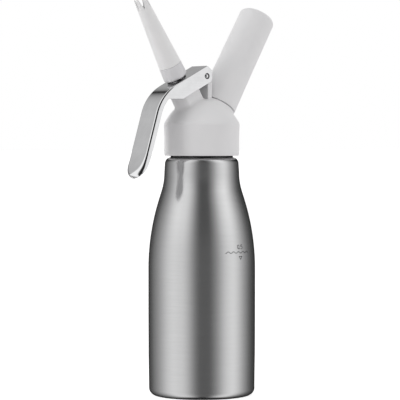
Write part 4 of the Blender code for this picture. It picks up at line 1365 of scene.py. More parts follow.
    @staticmethod
    def _bored(points: np.ndarray, axis: Axis, bores: Sequence[Bore]) -> np.ndarray:
        """The holes along an axis, taken together.

        Args:
            points: The points, in millimetres, one a row.
            axis: The axis.
            bores: The holes.

        Returns:
            The distances, less than nothing inside.
        """
        ahead, across, along = axis.local(points).T
        radial = np.hypot(ahead, across)
        return np.min([bore.distance(radial, along) for bore in bores], axis=0)

    def distance(self, points: np.ndarray) -> np.ndarray:
        """The distance from points of the whole object to the head's surface.

        Args:
            points: The points, in millimetres, one a row.

        Returns:
            The distances, less than nothing inside.
        """
        x, y, z = points.T
        radial = np.hypot(x, y)
        solid = joined(self._body(radial, z), self._valve_boss(points), self.boss_fillet)
        solid = joined(solid, self._charger_boss(points), self.charger_fillet)
        solid = joined(solid, self._post(points), self.post_fillet)
        solid = less(solid, self._hollow(radial, z), self.hollow_edge)
        solid = less(solid, self._bored(points, VALVE_AXIS, self.valve_bores), self.valve_bore_edge)
        solid = less(solid, self._bored(points, CHARGER_AXIS, self.charger_bores), self.charger_bore_edge)
        pin_hole = np.hypot(x - self.pin[0], z - self.pin[1]) - self.pin_hole
        return less(less(solid, pin_hole, self.pin_hole_edge), self._groove(points), self.groove_edge)

    def _groove(self, points: np.ndarray) -> np.ndarray:
        """The groove inside the collar that the bottle's neck thread turns in.

        Args:
            points: The points, in millimetres, one a row.

        Returns:
            The distances, less than nothing inside.
        """
        x, y, z = points.T
        turn = np.mod(np.arctan2(y, x), TURN) / TURN
        level = (z - self.groove_foot) / self.groove_pitch
        along = np.clip(np.round(level - turn), -self.groove_lead_turns, self.groove_turns - turn) + turn
        off = (level - along) * self.groove_pitch
        return np.hypot(np.hypot(x, y) - self.groove_radius, off) - self.groove_depth

    def make(self, dresser: Dresser) -> None:
        """Builds and dresses the head."""
        piece = netted("head_moulding", self.distance, (-29.5, -29.5, 178.3), (29.5, 29.5, 244.0), self.cell)
        dresser.put(piece, "head", Slot.HEAD_PLASTIC)


@dataclass
class Lever:
    """The bent steel channel that is squeezed: a plate over the valve, cheeks, and a spooned handle."""

    pin: tuple[float, float] = PIN
    tilt_deg: float = 27.3
    width: float = 21.4
    wall: float = 1.4
    corner: float = 1.6
    rise: float = 6.7
    back: float = 6.6
    cheek_height: float = 12.1
    cheek_foot_drop: float = 17.3
    cheek_back: float = 4.6
    cheek_back_rise: float = 4.5
    cheek_back_drop: float = 2.6
    plate_back: float = 4.0
    bend_corner: float = 43.2
    bend_radius: float = 33.0
    bend_deg: float = 46.1
    handle_depth: float = 4.5
    handle_straight: float = 30.4
    flare_radius: float = 52.0
    flare_length: float = 19.0
    end_length: float = 10.0
    end_corner: tuple[float, float] = (7.0, 4.0)
    sheet_edge: float = 0.35
    hole_half_length: float = 7.8
    hole_half_width: float = 7.0
    pin_hole: float = 2.25
    corner_steps: int = 10
    rim_points: int = 4
    bend_points: int = 49
    straight_points: int = 9
    flare_points: int = 17
    end_points: int = 33
    flare_growth: float = 1.5
    stem_cut: tuple[float, float] = (40.0, 62.0)
    side_cut: float = 20.0
    bevel: float = 0.25
    bevel_deg: float = 50.0
    bevel_from: float = -30.0

    def path(self, distance: float) -> tuple[float, float, float]:
        """Follows the lever's top face.

        Args:
            distance: How far along it from over the pin.

        Returns:
            How far out and up that is in the lever's frame, and how far it has turned down.
        """
        bend = math.radians(self.bend_deg)
        start = self.bend_corner - self.bend_radius * math.tan(bend / 2)
        if distance <= start:
            return distance, self.rise, 0.0
        bend_length = self.bend_radius * bend
        angle = min(distance - start, bend_length) / self.bend_radius
        out = start + self.bend_radius * math.sin(angle)
        up = self.rise - self.bend_radius * (1 - math.cos(angle))
        rest = distance - start - bend_length
        if rest <= 0:
            return out, up, angle
        straight = min(rest, self.handle_straight)
        out += straight * math.cos(angle)
        up -= straight * math.sin(angle)
        turned_back = max(0.0, rest - self.handle_straight) / self.flare_radius
        out += self.flare_radius * (math.sin(angle) - math.sin(angle - turned_back))
        up -= self.flare_radius * (math.cos(angle - turned_back) - math.cos(angle))
        return out, up, angle - turned_back

    def depth(self, out: float, up: float, angle: float) -> float:
        """How deep the cheeks are at a place on the path.

        Args:
            out: How far out the place is.
            up: How far up.
            angle: How far the path has turned down.

        Returns:
            The depth.
        """
        tilt = math.radians(self.tilt_deg)
        above_foot = up * math.cos(tilt) - out * math.sin(tilt) + self.cheek_foot_drop
        slope = math.cos(angle + tilt)
        to_foot = above_foot / slope if slope > 0 else self.cheek_height
        return max(self.handle_depth, min(self.cheek_height, to_foot))

    def section(self, half_width: float, depth: float, corner: tuple[float, float]) -> Outline:
        """The channel's section.

        Args:
            half_width: Half its width.
            depth: How deep its cheeks are.
            corner: How far its outer corners reach across and inwards.

        Returns:
            (across, inwards) points, once round.
        """
        inner_half = max(half_width - self.wall, self.wall / 3)
        wide, deep = min(corner[0], half_width), corner[1]
        inner_wide = max(min(wide, inner_half) - self.wall, self.wall / 3)
        inner_deep = max(deep - self.wall, self.wall / 3)
        edge = min(self.sheet_edge, 0.4 * (half_width - inner_half))
        turns = np.linspace(0, math.pi / 2, self.corner_steps + 1)
        rim = np.linspace(0, math.pi / 2, self.rim_points)
        half = [(half_width - edge + edge * math.sin(a), depth - edge + edge * math.cos(a)) for a in rim]
        half += [(half_width - wide * (1 - math.cos(a)), deep * (1 - math.sin(a))) for a in turns]
        inner = [(inner_half + edge - edge * math.sin(a), depth - edge + edge * math.cos(a)) for a in rim]
        inner += [
            (inner_half - inner_wide * (1 - math.cos(a)), self.wall + inner_deep * (1 - math.sin(a)))
            for a in turns
        ]
        left = [(-across, inwards) for across, inwards in half]
        back = [(-across, inwards) for across, inwards in inner]
        return left + half[::-1] + inner + back[::-1]

    def stations(self) -> tuple[list[float], float, float]:
        """Distances along the path, and where the flare and the rounded end start.

        Returns:
            The distances, the flare's start and the round end's start.
        """
        bend = math.radians(self.bend_deg)
        tilt = math.radians(self.tilt_deg)
        start = self.bend_corner - self.bend_radius * math.tan(bend / 2)
        bend_end = start + self.bend_radius * bend
        foot = (self.cheek_foot_drop - (self.cheek_height - self.rise) * math.cos(tilt)) / math.sin(tilt)
        flare = bend_end + self.handle_straight
        round_start = flare + self.flare_length - self.end_length
        stations = [-self.back, min(foot, start), *np.linspace(start, bend_end, self.bend_points)]
        stations += [*np.linspace(bend_end, flare, self.straight_points)[1:]]
        stations += [*np.linspace(flare, round_start, self.flare_points)[1:]]
        turns = np.linspace(0, math.pi / 2, self.end_points)[1:-1]
        stations += [round_start + self.end_length * math.sin(a) for a in turns]
        return sorted(set(stations)), flare, round_start

    def loft(self, outside: bpy.types.Material) -> bpy.types.Object:
        """The bent channel, before it is cut.

        Args:
            outside: The finish of its outer side.

        Returns:
            The channel, its inner side left as it was pressed.
        """
        stations, flare, round_start = self.stations()
        vertices: list[tuple[float, float, float]] = []
        for distance in stations:
            out, up, angle = self.path(distance)
            past_round = max(0.0, distance - round_start) / self.end_length
            half_width = self.width / 2 * math.sqrt(1 - past_round**2)
            past_flare = max(0.0, distance - flare) / self.flare_length
            grown = past_flare**self.flare_growth
            corner = tuple(self.corner + (end - self.corner) * grown for end in self.end_corner)
            for across, inwards in self.section(half_width, self.depth(out, up, angle), corner):
                vertices.append((out - inwards * math.sin(angle), across, up - inwards * math.cos(angle)))
        count = len(vertices) // len(stations)
        faces: list[Sequence[int]] = [tuple(range(count)), tuple(range(len(vertices) - count, len(vertices)))]
        for row in range(len(stations) - 1):
            first, second = row * count, (row + 1) * count
            for i in range(count):
                j = (i + 1) % count
                faces.append((first + i, first + j, second + j, second + i))
        turn = Matrix.Rotation(math.pi, 4, "Z") @ Matrix.Rotation(math.radians(self.tilt_deg), 4, "Y")
        place = Matrix.Translation((self.pin[0] * MM, 0.0, self.pin[1] * MM))
        channel = new_object("lever_channel", np.array(vertices), faces, place @ turn)
        channel.data.materials.append(outside)
        channel.data.materials.append(PressedSteel().material("lever_inner_side"))
        for number, face in enumerate(channel.data.polygons):
            face.material_index = int(number >= 2 and (number - 2) % count >= count // 2)
        return channel

    def cutters(self) -> list[bpy.types.Object]:
        """What is cut from the channel: the stem's hole, the pin's hole and the shape of its back.

        Returns:
            The three objects.
        """
        round_hole = [(math.cos(a), math.sin(a)) for a in np.linspace(0, TURN, 96, endpoint=False)]
        stem = [(self.hole_half_length * c, self.hole_half_width * s) for c, s in round_hole]
        pin = [(self.pin_hole * c, self.pin_hole * s) for c, s in round_hole]
        upright = Matrix.Rotation(math.pi / 2, 4, "X")
        at_pin = Matrix.Translation((self.pin[0] * MM, 0.0, self.pin[1] * MM)) @ upright
        stem_cut = prism("stem_hole", stem, *self.stem_cut, VALVE_AXIS.matrix())
        pin_cut = prism("pin_hole", pin, -self.side_cut, self.side_cut, at_pin)
        return [stem_cut, pin_cut, prism("back_trim", self.trim(), -self.side_cut, self.side_cut, upright)]

    def trim(self) -> Outline:
        """The outline behind the lever's back, as (x, z) points of the whole object.

        Returns:
            The points.
        """
        tilt = math.radians(self.tilt_deg)
        along = Vector((-math.cos(tilt), -math.sin(tilt)))
        up = Vector((-math.sin(tilt), math.cos(tilt)))
        pin = Vector(self.pin)
        back_x = self.pin[0] + self.cheek_back
        far_x = back_x + 2 * self.back
        back_top = Vector((back_x, self.pin[1] + self.cheek_back_rise))
        chamfer_top = pin - along * self.plate_back + up * self.rise
        chamfer_end = chamfer_top + (chamfer_top - back_top) * 2
        cheek_foot = pin + up * (self.rise - self.cheek_height)
        foot_end = cheek_foot - up * self.cheek_height
        back_foot = (back_x, self.pin[1] - self.cheek_back_drop)
        return [tuple(foot_end), tuple(cheek_foot), back_foot, tuple(back_top), tuple(chamfer_end),
                (far_x, chamfer_end.y), (far_x, foot_end.y)]

    def make(self, dresser: Dresser) -> None:
        """Builds the channel, cuts it, softens the cut edges, and dresses it.

        Args:
            dresser: What puts the pieces in place.
        """
        channel = self.loft(dresser.materials[Slot.POLISHED_STEEL])
        for cutter in self.cutters():
            cut_away(channel, cutter)
        soften_edges(channel.data, self.bevel, self.bevel_deg, lambda co: co.x > self.bevel_from * MM)
        shade(channel.data, 40.0)
        modify(channel, "WEIGHTED_NORMAL", {"keep_sharp": True, "weight": 100, "thresh": 0.001})
        dresser.put(channel, "lever", Slot.POLISHED_STEEL)


def prism(name: str, outline: Outline, low: float, high: float, matrix: Matrix) -> bpy.types.Object:
    """An outline in a plane, raised from low to high across it.

    Args:
        name: The object's name.
        outline: The outline's points.
        low: Its foot.
        high: Its top.
        matrix: Where it goes.

    Returns:
        The object.
    """
    count = len(outline)
    vertices = np.array([(x, y, z) for z in (low, high) for x, y in outline])
    faces: list[Sequence[int]] = [tuple(range(count)), tuple(range(count, 2 * count))]
    faces += [(i, (i + 1) % count, count + (i + 1) % count, count + i) for i in range(count)]
    return new_object(name, vertices, faces, matrix)


def modify(piece: bpy.types.Object, kind: str, settings: dict[str, Any]) -> None:
    """Changes a piece's mesh by a modifier.

    Args:
        piece: The piece.
        kind: The modifier's type.
        settings: Its settings.
    """
    modifier = piece.modifiers.new(kind, kind)
    for name, value in settings.items():
        setattr(modifier, name, value)
    bpy.context.view_layer.update()
    graph = bpy.context.evaluated_depsgraph_get()
    mesh = bpy.data.meshes.new_from_object(piece.evaluated_get(graph))
    piece.modifiers.clear()
    old = piece.data
    piece.data = mesh
    bpy.data.meshes.remove(old)
    mesh.name = piece.name


def cut_away(piece: bpy.types.Object, cutter: bpy.types.Object) -> None:
    """Cuts one object from another, and deletes the cutter."""
    modify(piece, "BOOLEAN", {"operation": "DIFFERENCE", "solver": "EXACT", "object": cutter})
    bpy.data.objects.remove(cutter, do_unlink=True)


def soften_edges(
    mesh: bpy.types.Mesh, width: float, angle_deg: float, where: Callable[[Vector], bool]
) -> None:
    """Bevels a mesh's sharp edges.

    Args:
        mesh: The mesh.
        width: The bevel's width in millimetres.
        angle_deg: How sharp an edge has to be.
        where: Whether a point, in metres, is in the part that is bevelled.
    """
    work = bmesh.new()
    work.from_mesh(mesh)
    bmesh.ops.dissolve_limit(
        work, angle_limit=math.radians(0.2), use_dissolve_boundaries=False, verts=work.verts, edges=work.edges
    )
    limit = math.radians(angle_deg)
    edges = [
        edge for edge in work.edges
        if len(edge.link_faces) == 2
        and edge.calc_face_angle() > limit
        and all(where(v.co) for v in edge.verts)
    ]
    bmesh.ops.bevel(
        work, geom=edges, offset=width * MM, offset_type="OFFSET", segments=2, profile=0.5, affect="EDGES",
        clamp_overlap=True,
    )
    work.to_mesh(mesh)
    work.free()


@dataclass
class HingePin:
    """The pin that the lever swings on, each end a small dome inside a ring of shadow."""

    pin: tuple[float, float] = PIN
    radius: float = 1.95
    dome_radius: float = 1.45
    dome_drop: float = 1.0
    neck_drop: float = 2.2
    neck_slope: float = 0.1
    half_length: float = 10.9

    def make(self, dresser: Dresser) -> None:
        """Builds and dresses the pin.

        Args:
            dresser: What puts the pieces in place.
        """
        turns = np.linspace(0.0, math.pi / 2, 13)
        end = [
            (self.dome_radius * math.sin(a), self.half_length - self.dome_drop * (1 - math.cos(a)))
            for a in turns
        ]
        neck = self.half_length - self.neck_drop
        end += [(self.dome_radius, neck), (self.radius, neck - self.neck_slope)]
        outline = end + [(r, -z) for r, z in end[::-1]]
        place = Matrix.Translation((self.pin[0] * MM, 0.0, self.pin[1] * MM))
        piece = turned("hinge_rivet", outline, steps=64, closed=False)
        piece.data.transform(place @ Matrix.Rotation(math.pi / 2, 4, "X"))
        dresser.put(piece, "hinge_pin", Slot.POLISHED_STEEL)


@dataclass
class Valve:
    """The dispensing valve: spindle, seals, guide, return spring and push collar."""

    stem_radius: float = 3.6
    stem_bore: float = 1.9
    stem_bore_foot: float = 20.9
    stem_top: float = 56.011
    clear_radius: float = 3.9
    disc_radius: float = 6.0
    disc_foot: float = 14.4
    disc_top: float = 16.4
    port_height: float = 22.6
    port_radius: float = 1.3
    port_cut: float = 8.0
    seal_span: tuple[float, float] = (16.7, 19.7)
    seal_radius: float = 6.4
    guide_radius: float = 7.2
    guide_seal_span: tuple[float, float] = (24.8, 26.8)
    guide_span: tuple[float, float] = (27.1, 31.0)
    collar_span: tuple[float, float] = (42.41, 45.11)
    collar_radius: float = 8.0
    collar_crown: float = 0.9
    spring_radius: float = 5.9
    spring_wire: float = 0.5
    spring_span: tuple[float, float] = (31.3, 42.11)
    spring_turns: float = 4.5
    spring_points: int = 240
    spring_sides: int = 12
    travel: float = 3.0

    def make(self, dresser: Dresser) -> None:
        """Builds and dresses the valve's pieces.

        Args:
            dresser: What puts the pieces in place.
        """
        spindle = turned(
            "valve_stem",
            rounded(
                [
                    (self.stem_bore, self.stem_top, 0.25), (self.stem_radius, self.stem_top, 0.4),
                    (self.stem_radius, self.disc_top, 0.4), (self.disc_radius, self.disc_top, 0.3),
                    (self.disc_radius, self.disc_foot, 0.5), (0.0, self.disc_foot, 0.0),
                    (0.0, self.stem_bore_foot, 0.0), (self.stem_bore, self.stem_bore_foot, 0.3),
                ]
            ),
            VALVE_AXIS,
        )
        for turn in (0.0, math.pi / 2):
            hole = [(self.port_radius * math.cos(a), self.port_radius * math.sin(a))
                    for a in np.linspace(0, TURN, 32, endpoint=False)]
            place = Matrix.Translation((0.0, 0.0, self.port_height * MM))
            place = VALVE_AXIS.matrix() @ place @ Matrix.Rotation(turn, 4, "Z")
            place = place @ Matrix.Rotation(math.pi / 2, 4, "X")
            cut_away(spindle, prism("stem_port", hole, -self.port_cut, self.port_cut, place))
        shade(spindle.data, 32.0)
        dresser.put(spindle, "valve_spindle", Slot.POLISHED_STEEL, screened=False)
        rings = [
            ("valve_seal_ring", self.seal_radius, self.seal_span, 0.5, "valve_seal", Slot.CLEAR_RUBBER),
            ("guide_seal_ring", self.guide_radius, self.guide_seal_span, 0.5, "guide_seal",
             Slot.CLEAR_RUBBER),
            ("guide_bush", self.guide_radius, self.guide_span, 0.4, "spindle_guide", Slot.GUIDE_PLASTIC),
        ]
        for name, outer, (low, high), edge, node, slot in rings:
            dresser.put(turned(name, ring(self.clear_radius, outer, low, high, edge), VALVE_AXIS), node, slot)
        low, high = self.collar_span
        collar = [
            (self.clear_radius, high, 0.2), (self.clear_radius + 0.6, high, 0.5),
            (self.collar_radius, high - self.collar_crown, 0.5), (self.collar_radius, low, 0.4),
            (self.clear_radius, low, 0.3),
        ]
        piece = turned("push_button_ring", rounded(collar), VALVE_AXIS)
        dresser.put(piece, "push_collar", Slot.POLISHED_STEEL, screened=False)
        spring = self.spring()
        dresser.put(spring, "return_spring", Slot.POLISHED_STEEL, screened=False)
        axis = VALVE_AXIS.matrix()
        low, high = self.spring_span
        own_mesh(spring)

    def spring(self) -> bpy.types.Object:
        """The wound spring.

        Returns:
            The spring, standing along the valve's axis.
        """
        low, high = self.spring_span[0] + self.spring_wire, self.spring_span[1] - self.spring_wire
        count, sides = self.spring_points, self.spring_sides
        angles = np.linspace(0.0, TURN * self.spring_turns, count)
        rise = (high - low) / (TURN * self.spring_turns)
        outward = np.stack([np.cos(angles), np.sin(angles), np.zeros(count)], axis=1)
        centre = outward * self.spring_radius
        centre[:, 2] = low + rise * angles
        run = np.stack([-np.sin(angles) * self.spring_radius, np.cos(angles) * self.spring_radius,
                        np.full(count, rise)], axis=1)
        run /= np.linalg.norm(run, axis=1, keepdims=True)
        over = np.cross(run, outward)
        around = np.linspace(0, TURN, sides, endpoint=False)
        points = centre[:, None, :] + self.spring_wire * (
            np.cos(around)[None, :, None] * outward[:, None, :]
            + np.sin(around)[None, :, None] * over[:, None, :]
        )
        faces: list[Sequence[int]] = [tuple(range(sides)), tuple(range((count - 1) * sides, count * sides))]
        for i in range(count - 1):
            for j in range(sides):
                k = (j + 1) % sides
                faces.append((i * sides + j, i * sides + k, (i + 1) * sides + k, (i + 1) * sides + j))
        return new_object("spring_coil", points.reshape(-1, 3), faces, VALVE_AXIS.matrix(), 50.0)


@dataclass
class TipAdaptor:
    """The adaptor on the stem, with six flats and a threaded stub, and the washer inside it."""

    foot: float = 48.45
    top: float = 59.311
    foot_radius: float = 9.1
    top_radius: float = 8.65
    foot_edge: float = 1.9
    flat_depth: float = 0.6
    flats: int = 6
    stub_radius: float = 5.9
    stub_height: float = 6.6
    stub_bore: float = 2.3
    stem_bore: float = 3.9
    washer_seat: float = 57.611
    washer: tuple[float, ...] = (2.3, 3.6, 56.311, 57.311, 0.3)
    flat_edge: float = 0.12
    top_edge: float = 0.3
    stub_edge: float = 0.3
    stub_sunk: float = 2.0
    thread_pitch: float = 2.5
    thread_turns: float = 1.5
    thread_height: float = 0.5
    thread_slope: float = 0.9
    bore_edge: float = 0.2
    cell: float = 0.3

    def distance(self, points: np.ndarray) -> np.ndarray:
        """The distance from points along the valve's axis to the adaptor's surface.

        Args:
            points: The points, in millimetres, one a row.

        Returns:
            The distances, less than nothing inside.
        """
        x, y, z = points.T
        radial = np.hypot(x, y)
        share = (z - self.foot) / (self.top - self.foot)
        cone = radial - (self.foot_radius + (self.top_radius - self.foot_radius) * share)
        turns = [TURN * i / self.flats for i in range(self.flats)]
        grip = np.max([x * math.cos(a) + y * math.sin(a) for a in turns], axis=0)
        body = common(cone, grip - (self.foot_radius - self.flat_depth), self.flat_edge)
        body = common(body, self.foot - z, self.foot_edge)
        body = common(body, z - self.top, self.top_edge)
        stub = common(radial - self.stub_radius, z - (self.top + self.stub_height), self.stub_edge)
        stub = np.maximum(stub, self.foot + self.stub_sunk - z)
        ridge = Thread(self.stub_radius, self.thread_pitch, self.top + self.stub_sunk, self.thread_turns,
                       self.thread_height, self.thread_height)
        lift = ridge.lift(np.arctan2(y, x), z)
        solid = joined(body, stub - lift * self.thread_slope, self.stub_edge)
        bores = np.minimum(radial - self.stub_bore, np.maximum(radial - self.stem_bore, z - self.washer_seat))
        return less(solid, bores, self.bore_edge)

    def make(self, dresser: Dresser) -> None:
        """Builds and dresses the adaptor and its washer.

        Args:
            dresser: What puts the pieces in place.
        """
        low = (-9.8, -9.8, self.foot - 0.8)
        high = (9.8, 9.8, self.top + self.stub_height + 0.8)
        piece = netted("adaptor_moulding", self.distance, low, high, self.cell, VALVE_AXIS)
        dresser.put(piece, "tip_adaptor", Slot.ADAPTOR_PLASTIC)
        washer = turned("stem_washer_ring", ring(*self.washer), VALVE_AXIS)
        dresser.put(washer, "stem_washer", Slot.CLEAR_RUBBER)


@dataclass
class DecoratingTip:
    """The tapered tip with six pointed prongs, and the seal in its foot."""

    foot: float = 59.34
    length: float = 56.171
    foot_radius: float = 8.55
    end_radius: float = 4.7
    wall: float = 1.3
    socket_height: float = 8.6
    socket_radius: float = 6.3
    recess_radius: float = 7.5
    recess_height: float = 1.4
    prongs: int = 6
    notch_depth: float = 9.0
    notch_width: float = 3.9
    end_edge: float = 0.25
    foot_edge: float = 0.3
    recess_edge: float = 0.1
    notch_edge: float = 0.3
    groove: Thread = Thread(6.3, 2.5, 61.311, 1.6, 0.5, 0.81, lead_turns=1.0)
    groove_slope: float = 0.9
    cell: float = 0.33

    def distance(self, points: np.ndarray) -> np.ndarray:
        """The distance from points along the valve's axis to the tip's surface.

        Args:
            points: The points, in millimetres, one a row.

        Returns:
            The distances, less than nothing inside.
        """
        x, y, z = points.T
        radial = np.hypot(x, y)
        top = self.foot + self.length
        lean = math.cos(math.atan2(self.foot_radius - self.end_radius, self.length))
        outer = np.interp(z, [self.foot, top], [self.foot_radius, self.end_radius])
        socket_top = self.foot + self.socket_height
        inner = np.interp(z, [socket_top, top], [self.socket_radius, self.end_radius - self.wall])
        shell = common((radial - outer) * lean, z - top, self.end_edge)
        shell = common(shell, self.foot - z, self.foot_edge)
        in_socket = (z < socket_top) * self.groove.lift(np.arctan2(y, x), z)
        shell = less(shell, (radial - inner) * lean - in_socket * self.groove_slope, self.end_edge)
        recess = np.maximum(radial - self.recess_radius, z - (self.foot + self.recess_height))
        shell = less(shell, recess, self.recess_edge)
        step = TURN / self.prongs
        angle = np.arctan2(y, x)
        folded = angle - np.round(angle / step) * step
        slant = math.atan2(self.notch_width / 2, self.notch_depth)
        across = np.abs(radial * np.sin(folded))
        notch = across * math.cos(slant) - (z - (top - self.notch_depth)) * math.sin(slant)
        return less(shell, notch, self.notch_edge)

    def make(self, dresser: Dresser) -> None:
        """Builds and dresses the tip and its seal.

        Args:
            dresser: What puts the pieces in place.
        """
        low = (-9.4, -9.4, self.foot - 0.8)
        high = (9.4, 9.4, self.foot + self.length + 0.8)
        piece = netted("tip_moulding", self.distance, low, high, self.cell, VALVE_AXIS)
        dresser.put(piece, "decorating_tip", Slot.TIP_PLASTIC)
        seal = ring(6.7, 7.2, self.foot + 0.16, self.foot + 1.26, 0.2)
        dresser.put(turned("tip_seal_ring", seal, VALVE_AXIS), "tip_seal", Slot.CLEAR_RUBBER)


@dataclass
class ChargingValve:
    """The threaded socket that the holder screws onto, with its washer, piercer, seal and one-way valve."""

    radius: float = 9.6
    shank_radius: float = 8.0
    shank_foot: float = 24.3
    shoulder: float = 29.65
    seat: float = 35.15
    top: float = 44.9
    neck_bore: float = 5.1
    gas_bore: float = 1.5

    def make(self, dresser: Dresser) -> None:
        """Builds and dresses the charging valve's pieces.

        Args:
            dresser: What puts the pieces in place.
        """
        socket = rounded(
            [
                (self.neck_bore, self.top, 0.4), (self.radius, self.top, 0.6),
                (self.radius, self.shoulder, 0.3),
                (self.shank_radius, self.shoulder, 0.2), (self.shank_radius, self.shank_foot, 0.4),
                (self.gas_bore, self.shank_foot, 0.2), (self.gas_bore, self.seat, 0.2),
                (self.neck_bore, self.seat, 0.3),
            ]
        )
        ridge = Thread(self.radius, 3.0, self.shoulder + 1.6, 3.0, 0.65, 0.75)
        piece = turned("charging_socket", socket, CHARGER_AXIS, threads=[ridge])
        dresser.put(piece, "charger_socket", Slot.POLISHED_STEEL)
        washer = ring(8.3, 9.6, 28.45, 29.35, 0.25)
        dresser.put(turned("socket_washer_ring", washer, CHARGER_AXIS), "socket_washer", Slot.CLEAR_RUBBER)
        piercer = rounded(
            [
                (0.5, 42.45, 0.0), (1.1, 41.35, 0.1), (1.1, 37.05, 0.3), (3.4, 37.05, 0.3), (3.4, 35.45, 0.3),
                (0.5, 35.45, 0.1),
            ]
        )
        dresser.put(turned("piercing_needle", piercer, CHARGER_AXIS), "piercer", Slot.POLISHED_STEEL)
        seal = ring(2.4, 4.8, 37.35, 39.65, 0.4)
        dresser.put(turned("charger_seal_ring", seal, CHARGER_AXIS), "charger_seal", Slot.CLEAR_RUBBER)
        umbrella = rounded(
            [
                (0.0, 24.0, 0.0), (2.0, 24.0, 0.3), (2.0, 21.3, 0.2), (5.4, 21.3, 0.2), (5.4, 20.4, 0.4),
                (2.0, 19.4, 0.6), (0.0, 19.4, 0.0),
            ],
            closed=False,
        )
        piece = turned("umbrella_valve", umbrella, CHARGER_AXIS, closed=False)
        dresser.put(piece, "non_return_valve", Slot.RED_RUBBER)


@dataclass
class GasCharger:
    """The small steel gas charger in the holder."""

    neck_end: float = 39.95
    length: float = 65.5
    radius: float = 9.1
    end_radius: float = 7.0
    neck_radius: float = 4.3
    neck_length: float = 8.4
    shoulder_length: float = 8.0
    wall: float = 1.3
    hole: float = 1.7

    def side(self, depth: float) -> Outline:
        """The side from the round end down to the neck's end, drawn in by a depth.

        Args:
            depth: How far it is drawn in.

        Returns:
            Its (r, z) points.
        """
        top = self.neck_end + self.length
        neck_top = self.neck_end + self.neck_length
        centre = (self.radius - self.end_radius, top - self.end_radius)
        side = [(0.0, top - depth)] + arc(centre, self.end_radius - depth, 90, 0, 6)
        lower = [
            (self.radius - depth, top - self.end_radius, 0.0),
            (self.radius - depth, neck_top + self.shoulder_length, 4.0),
            (self.neck_radius - depth, neck_top, 2.5),
            (self.neck_radius - depth, self.neck_end + depth, 0.6),
            (self.hole, self.neck_end + depth, 0.0),
        ]
        return side + rounded(lower, closed=False)[1:]

    def make(self, dresser: Dresser) -> None:
        """Builds and dresses the gas charger."""
        outline = self.side(0.0) + self.side(self.wall)[::-1]
        dresser.put(turned("gas_bulb", outline, CHARGER_AXIS), "gas_charger", Slot.CHARGER_STEEL)


@dataclass
class ChargerHolder:
    """The plastic holder that the charger sits in."""

    foot: float = 28.72
    top: float = 109.25
    roof_foot: float = 105.75
    foot_radius: float = 14.5
    middle_radius: float = 13.95
    top_radius: float = 13.75
    end_radius: float = 4.6
    crown: float = 1.2
    foot_edge: float = 0.55
    bore: float = 9.6
    thread_bore: float = 10.0
    thread_top: float = 46.65

    def make(self, dresser: Dresser) -> None:
        """Builds and dresses the holder.

        Args:
            dresser: What puts the pieces in place.
        """
        rise = self.top - self.crown - self.end_radius
        bow = np.polyfit([self.foot, (self.foot + self.top) / 2, rise],
                         [self.foot_radius, self.middle_radius, self.top_radius], 2)
        levels = np.linspace(rise, self.foot + self.foot_edge, 24)
        side = [(float(np.polyval(bow, z)), float(z)) for z in levels]
        crown_r = self.top_radius - self.end_radius
        crown = [(crown_r * math.sin(a), self.top - self.crown * (1 - math.cos(a)) / (1 - math.cos(1.0)))
                 for a in np.linspace(0, 1.0, 9)]
        scale = crown_r / crown[-1][0]
        crown = [(r * scale, z) for r, z in crown]
        corner = arc((crown_r, rise), self.end_radius, 80, 0, 6)
        edge = arc((side[-1][0] - self.foot_edge, self.foot + self.foot_edge), self.foot_edge, 0, -90, 22)
        slope = self.thread_bore - self.bore
        inside = rounded(
            [
                (side[-1][0] - self.foot_edge, self.foot, 0.0), (self.thread_bore, self.foot, 0.3),
                (self.thread_bore, self.thread_top, 0.0), (self.bore, self.thread_top + slope, 0.0),
                (self.bore, self.roof_foot, 1.0), (0.0, self.roof_foot, 0.0),
            ],
            closed=False,
        )
        outline = crown + corner + side[1:] + edge[1:] + inside[1:]
        groove = Thread(self.thread_bore, 3.0, 31.25, 3.05, 0.65, 0.97, lead_turns=1.5)
        piece = turned("holder_moulding", outline, CHARGER_AXIS, steps=144, closed=False, threads=[groove])
        dresser.put(piece, "charger_holder", Slot.HEAD_PLASTIC)


# The picture


@dataclass
class Camera:
    """The camera, level with the bottle's neck and square to the picture."""

    turn_deg: float = 36.0
    distance_m: float = 1.65
    height_m: float = 0.191
    lens: float = 198.0
    shift: tuple[float, float] = (-0.004375, -0.15)
    sensor: float = 36.0
    far_m: float = 100.0

    def make(self) -> None:
        """Makes the scene's camera."""
        turn = math.radians(self.turn_deg)
        data = bpy.data.cameras.new("camera")
        data.lens = self.lens
        data.sensor_width = self.sensor
        data.shift_x, data.shift_y = self.shift
        data.clip_end = self.far_m
        obj = bpy.data.objects.new("camera", data)
        obj.location = (-math.sin(turn) * self.distance_m, -math.cos(turn) * self.distance_m, self.height_m)
        obj.rotation_euler = (math.pi / 2, 0.0, -turn)
        bpy.context.scene.collection.objects.link(obj)
        bpy.context.scene.camera = obj


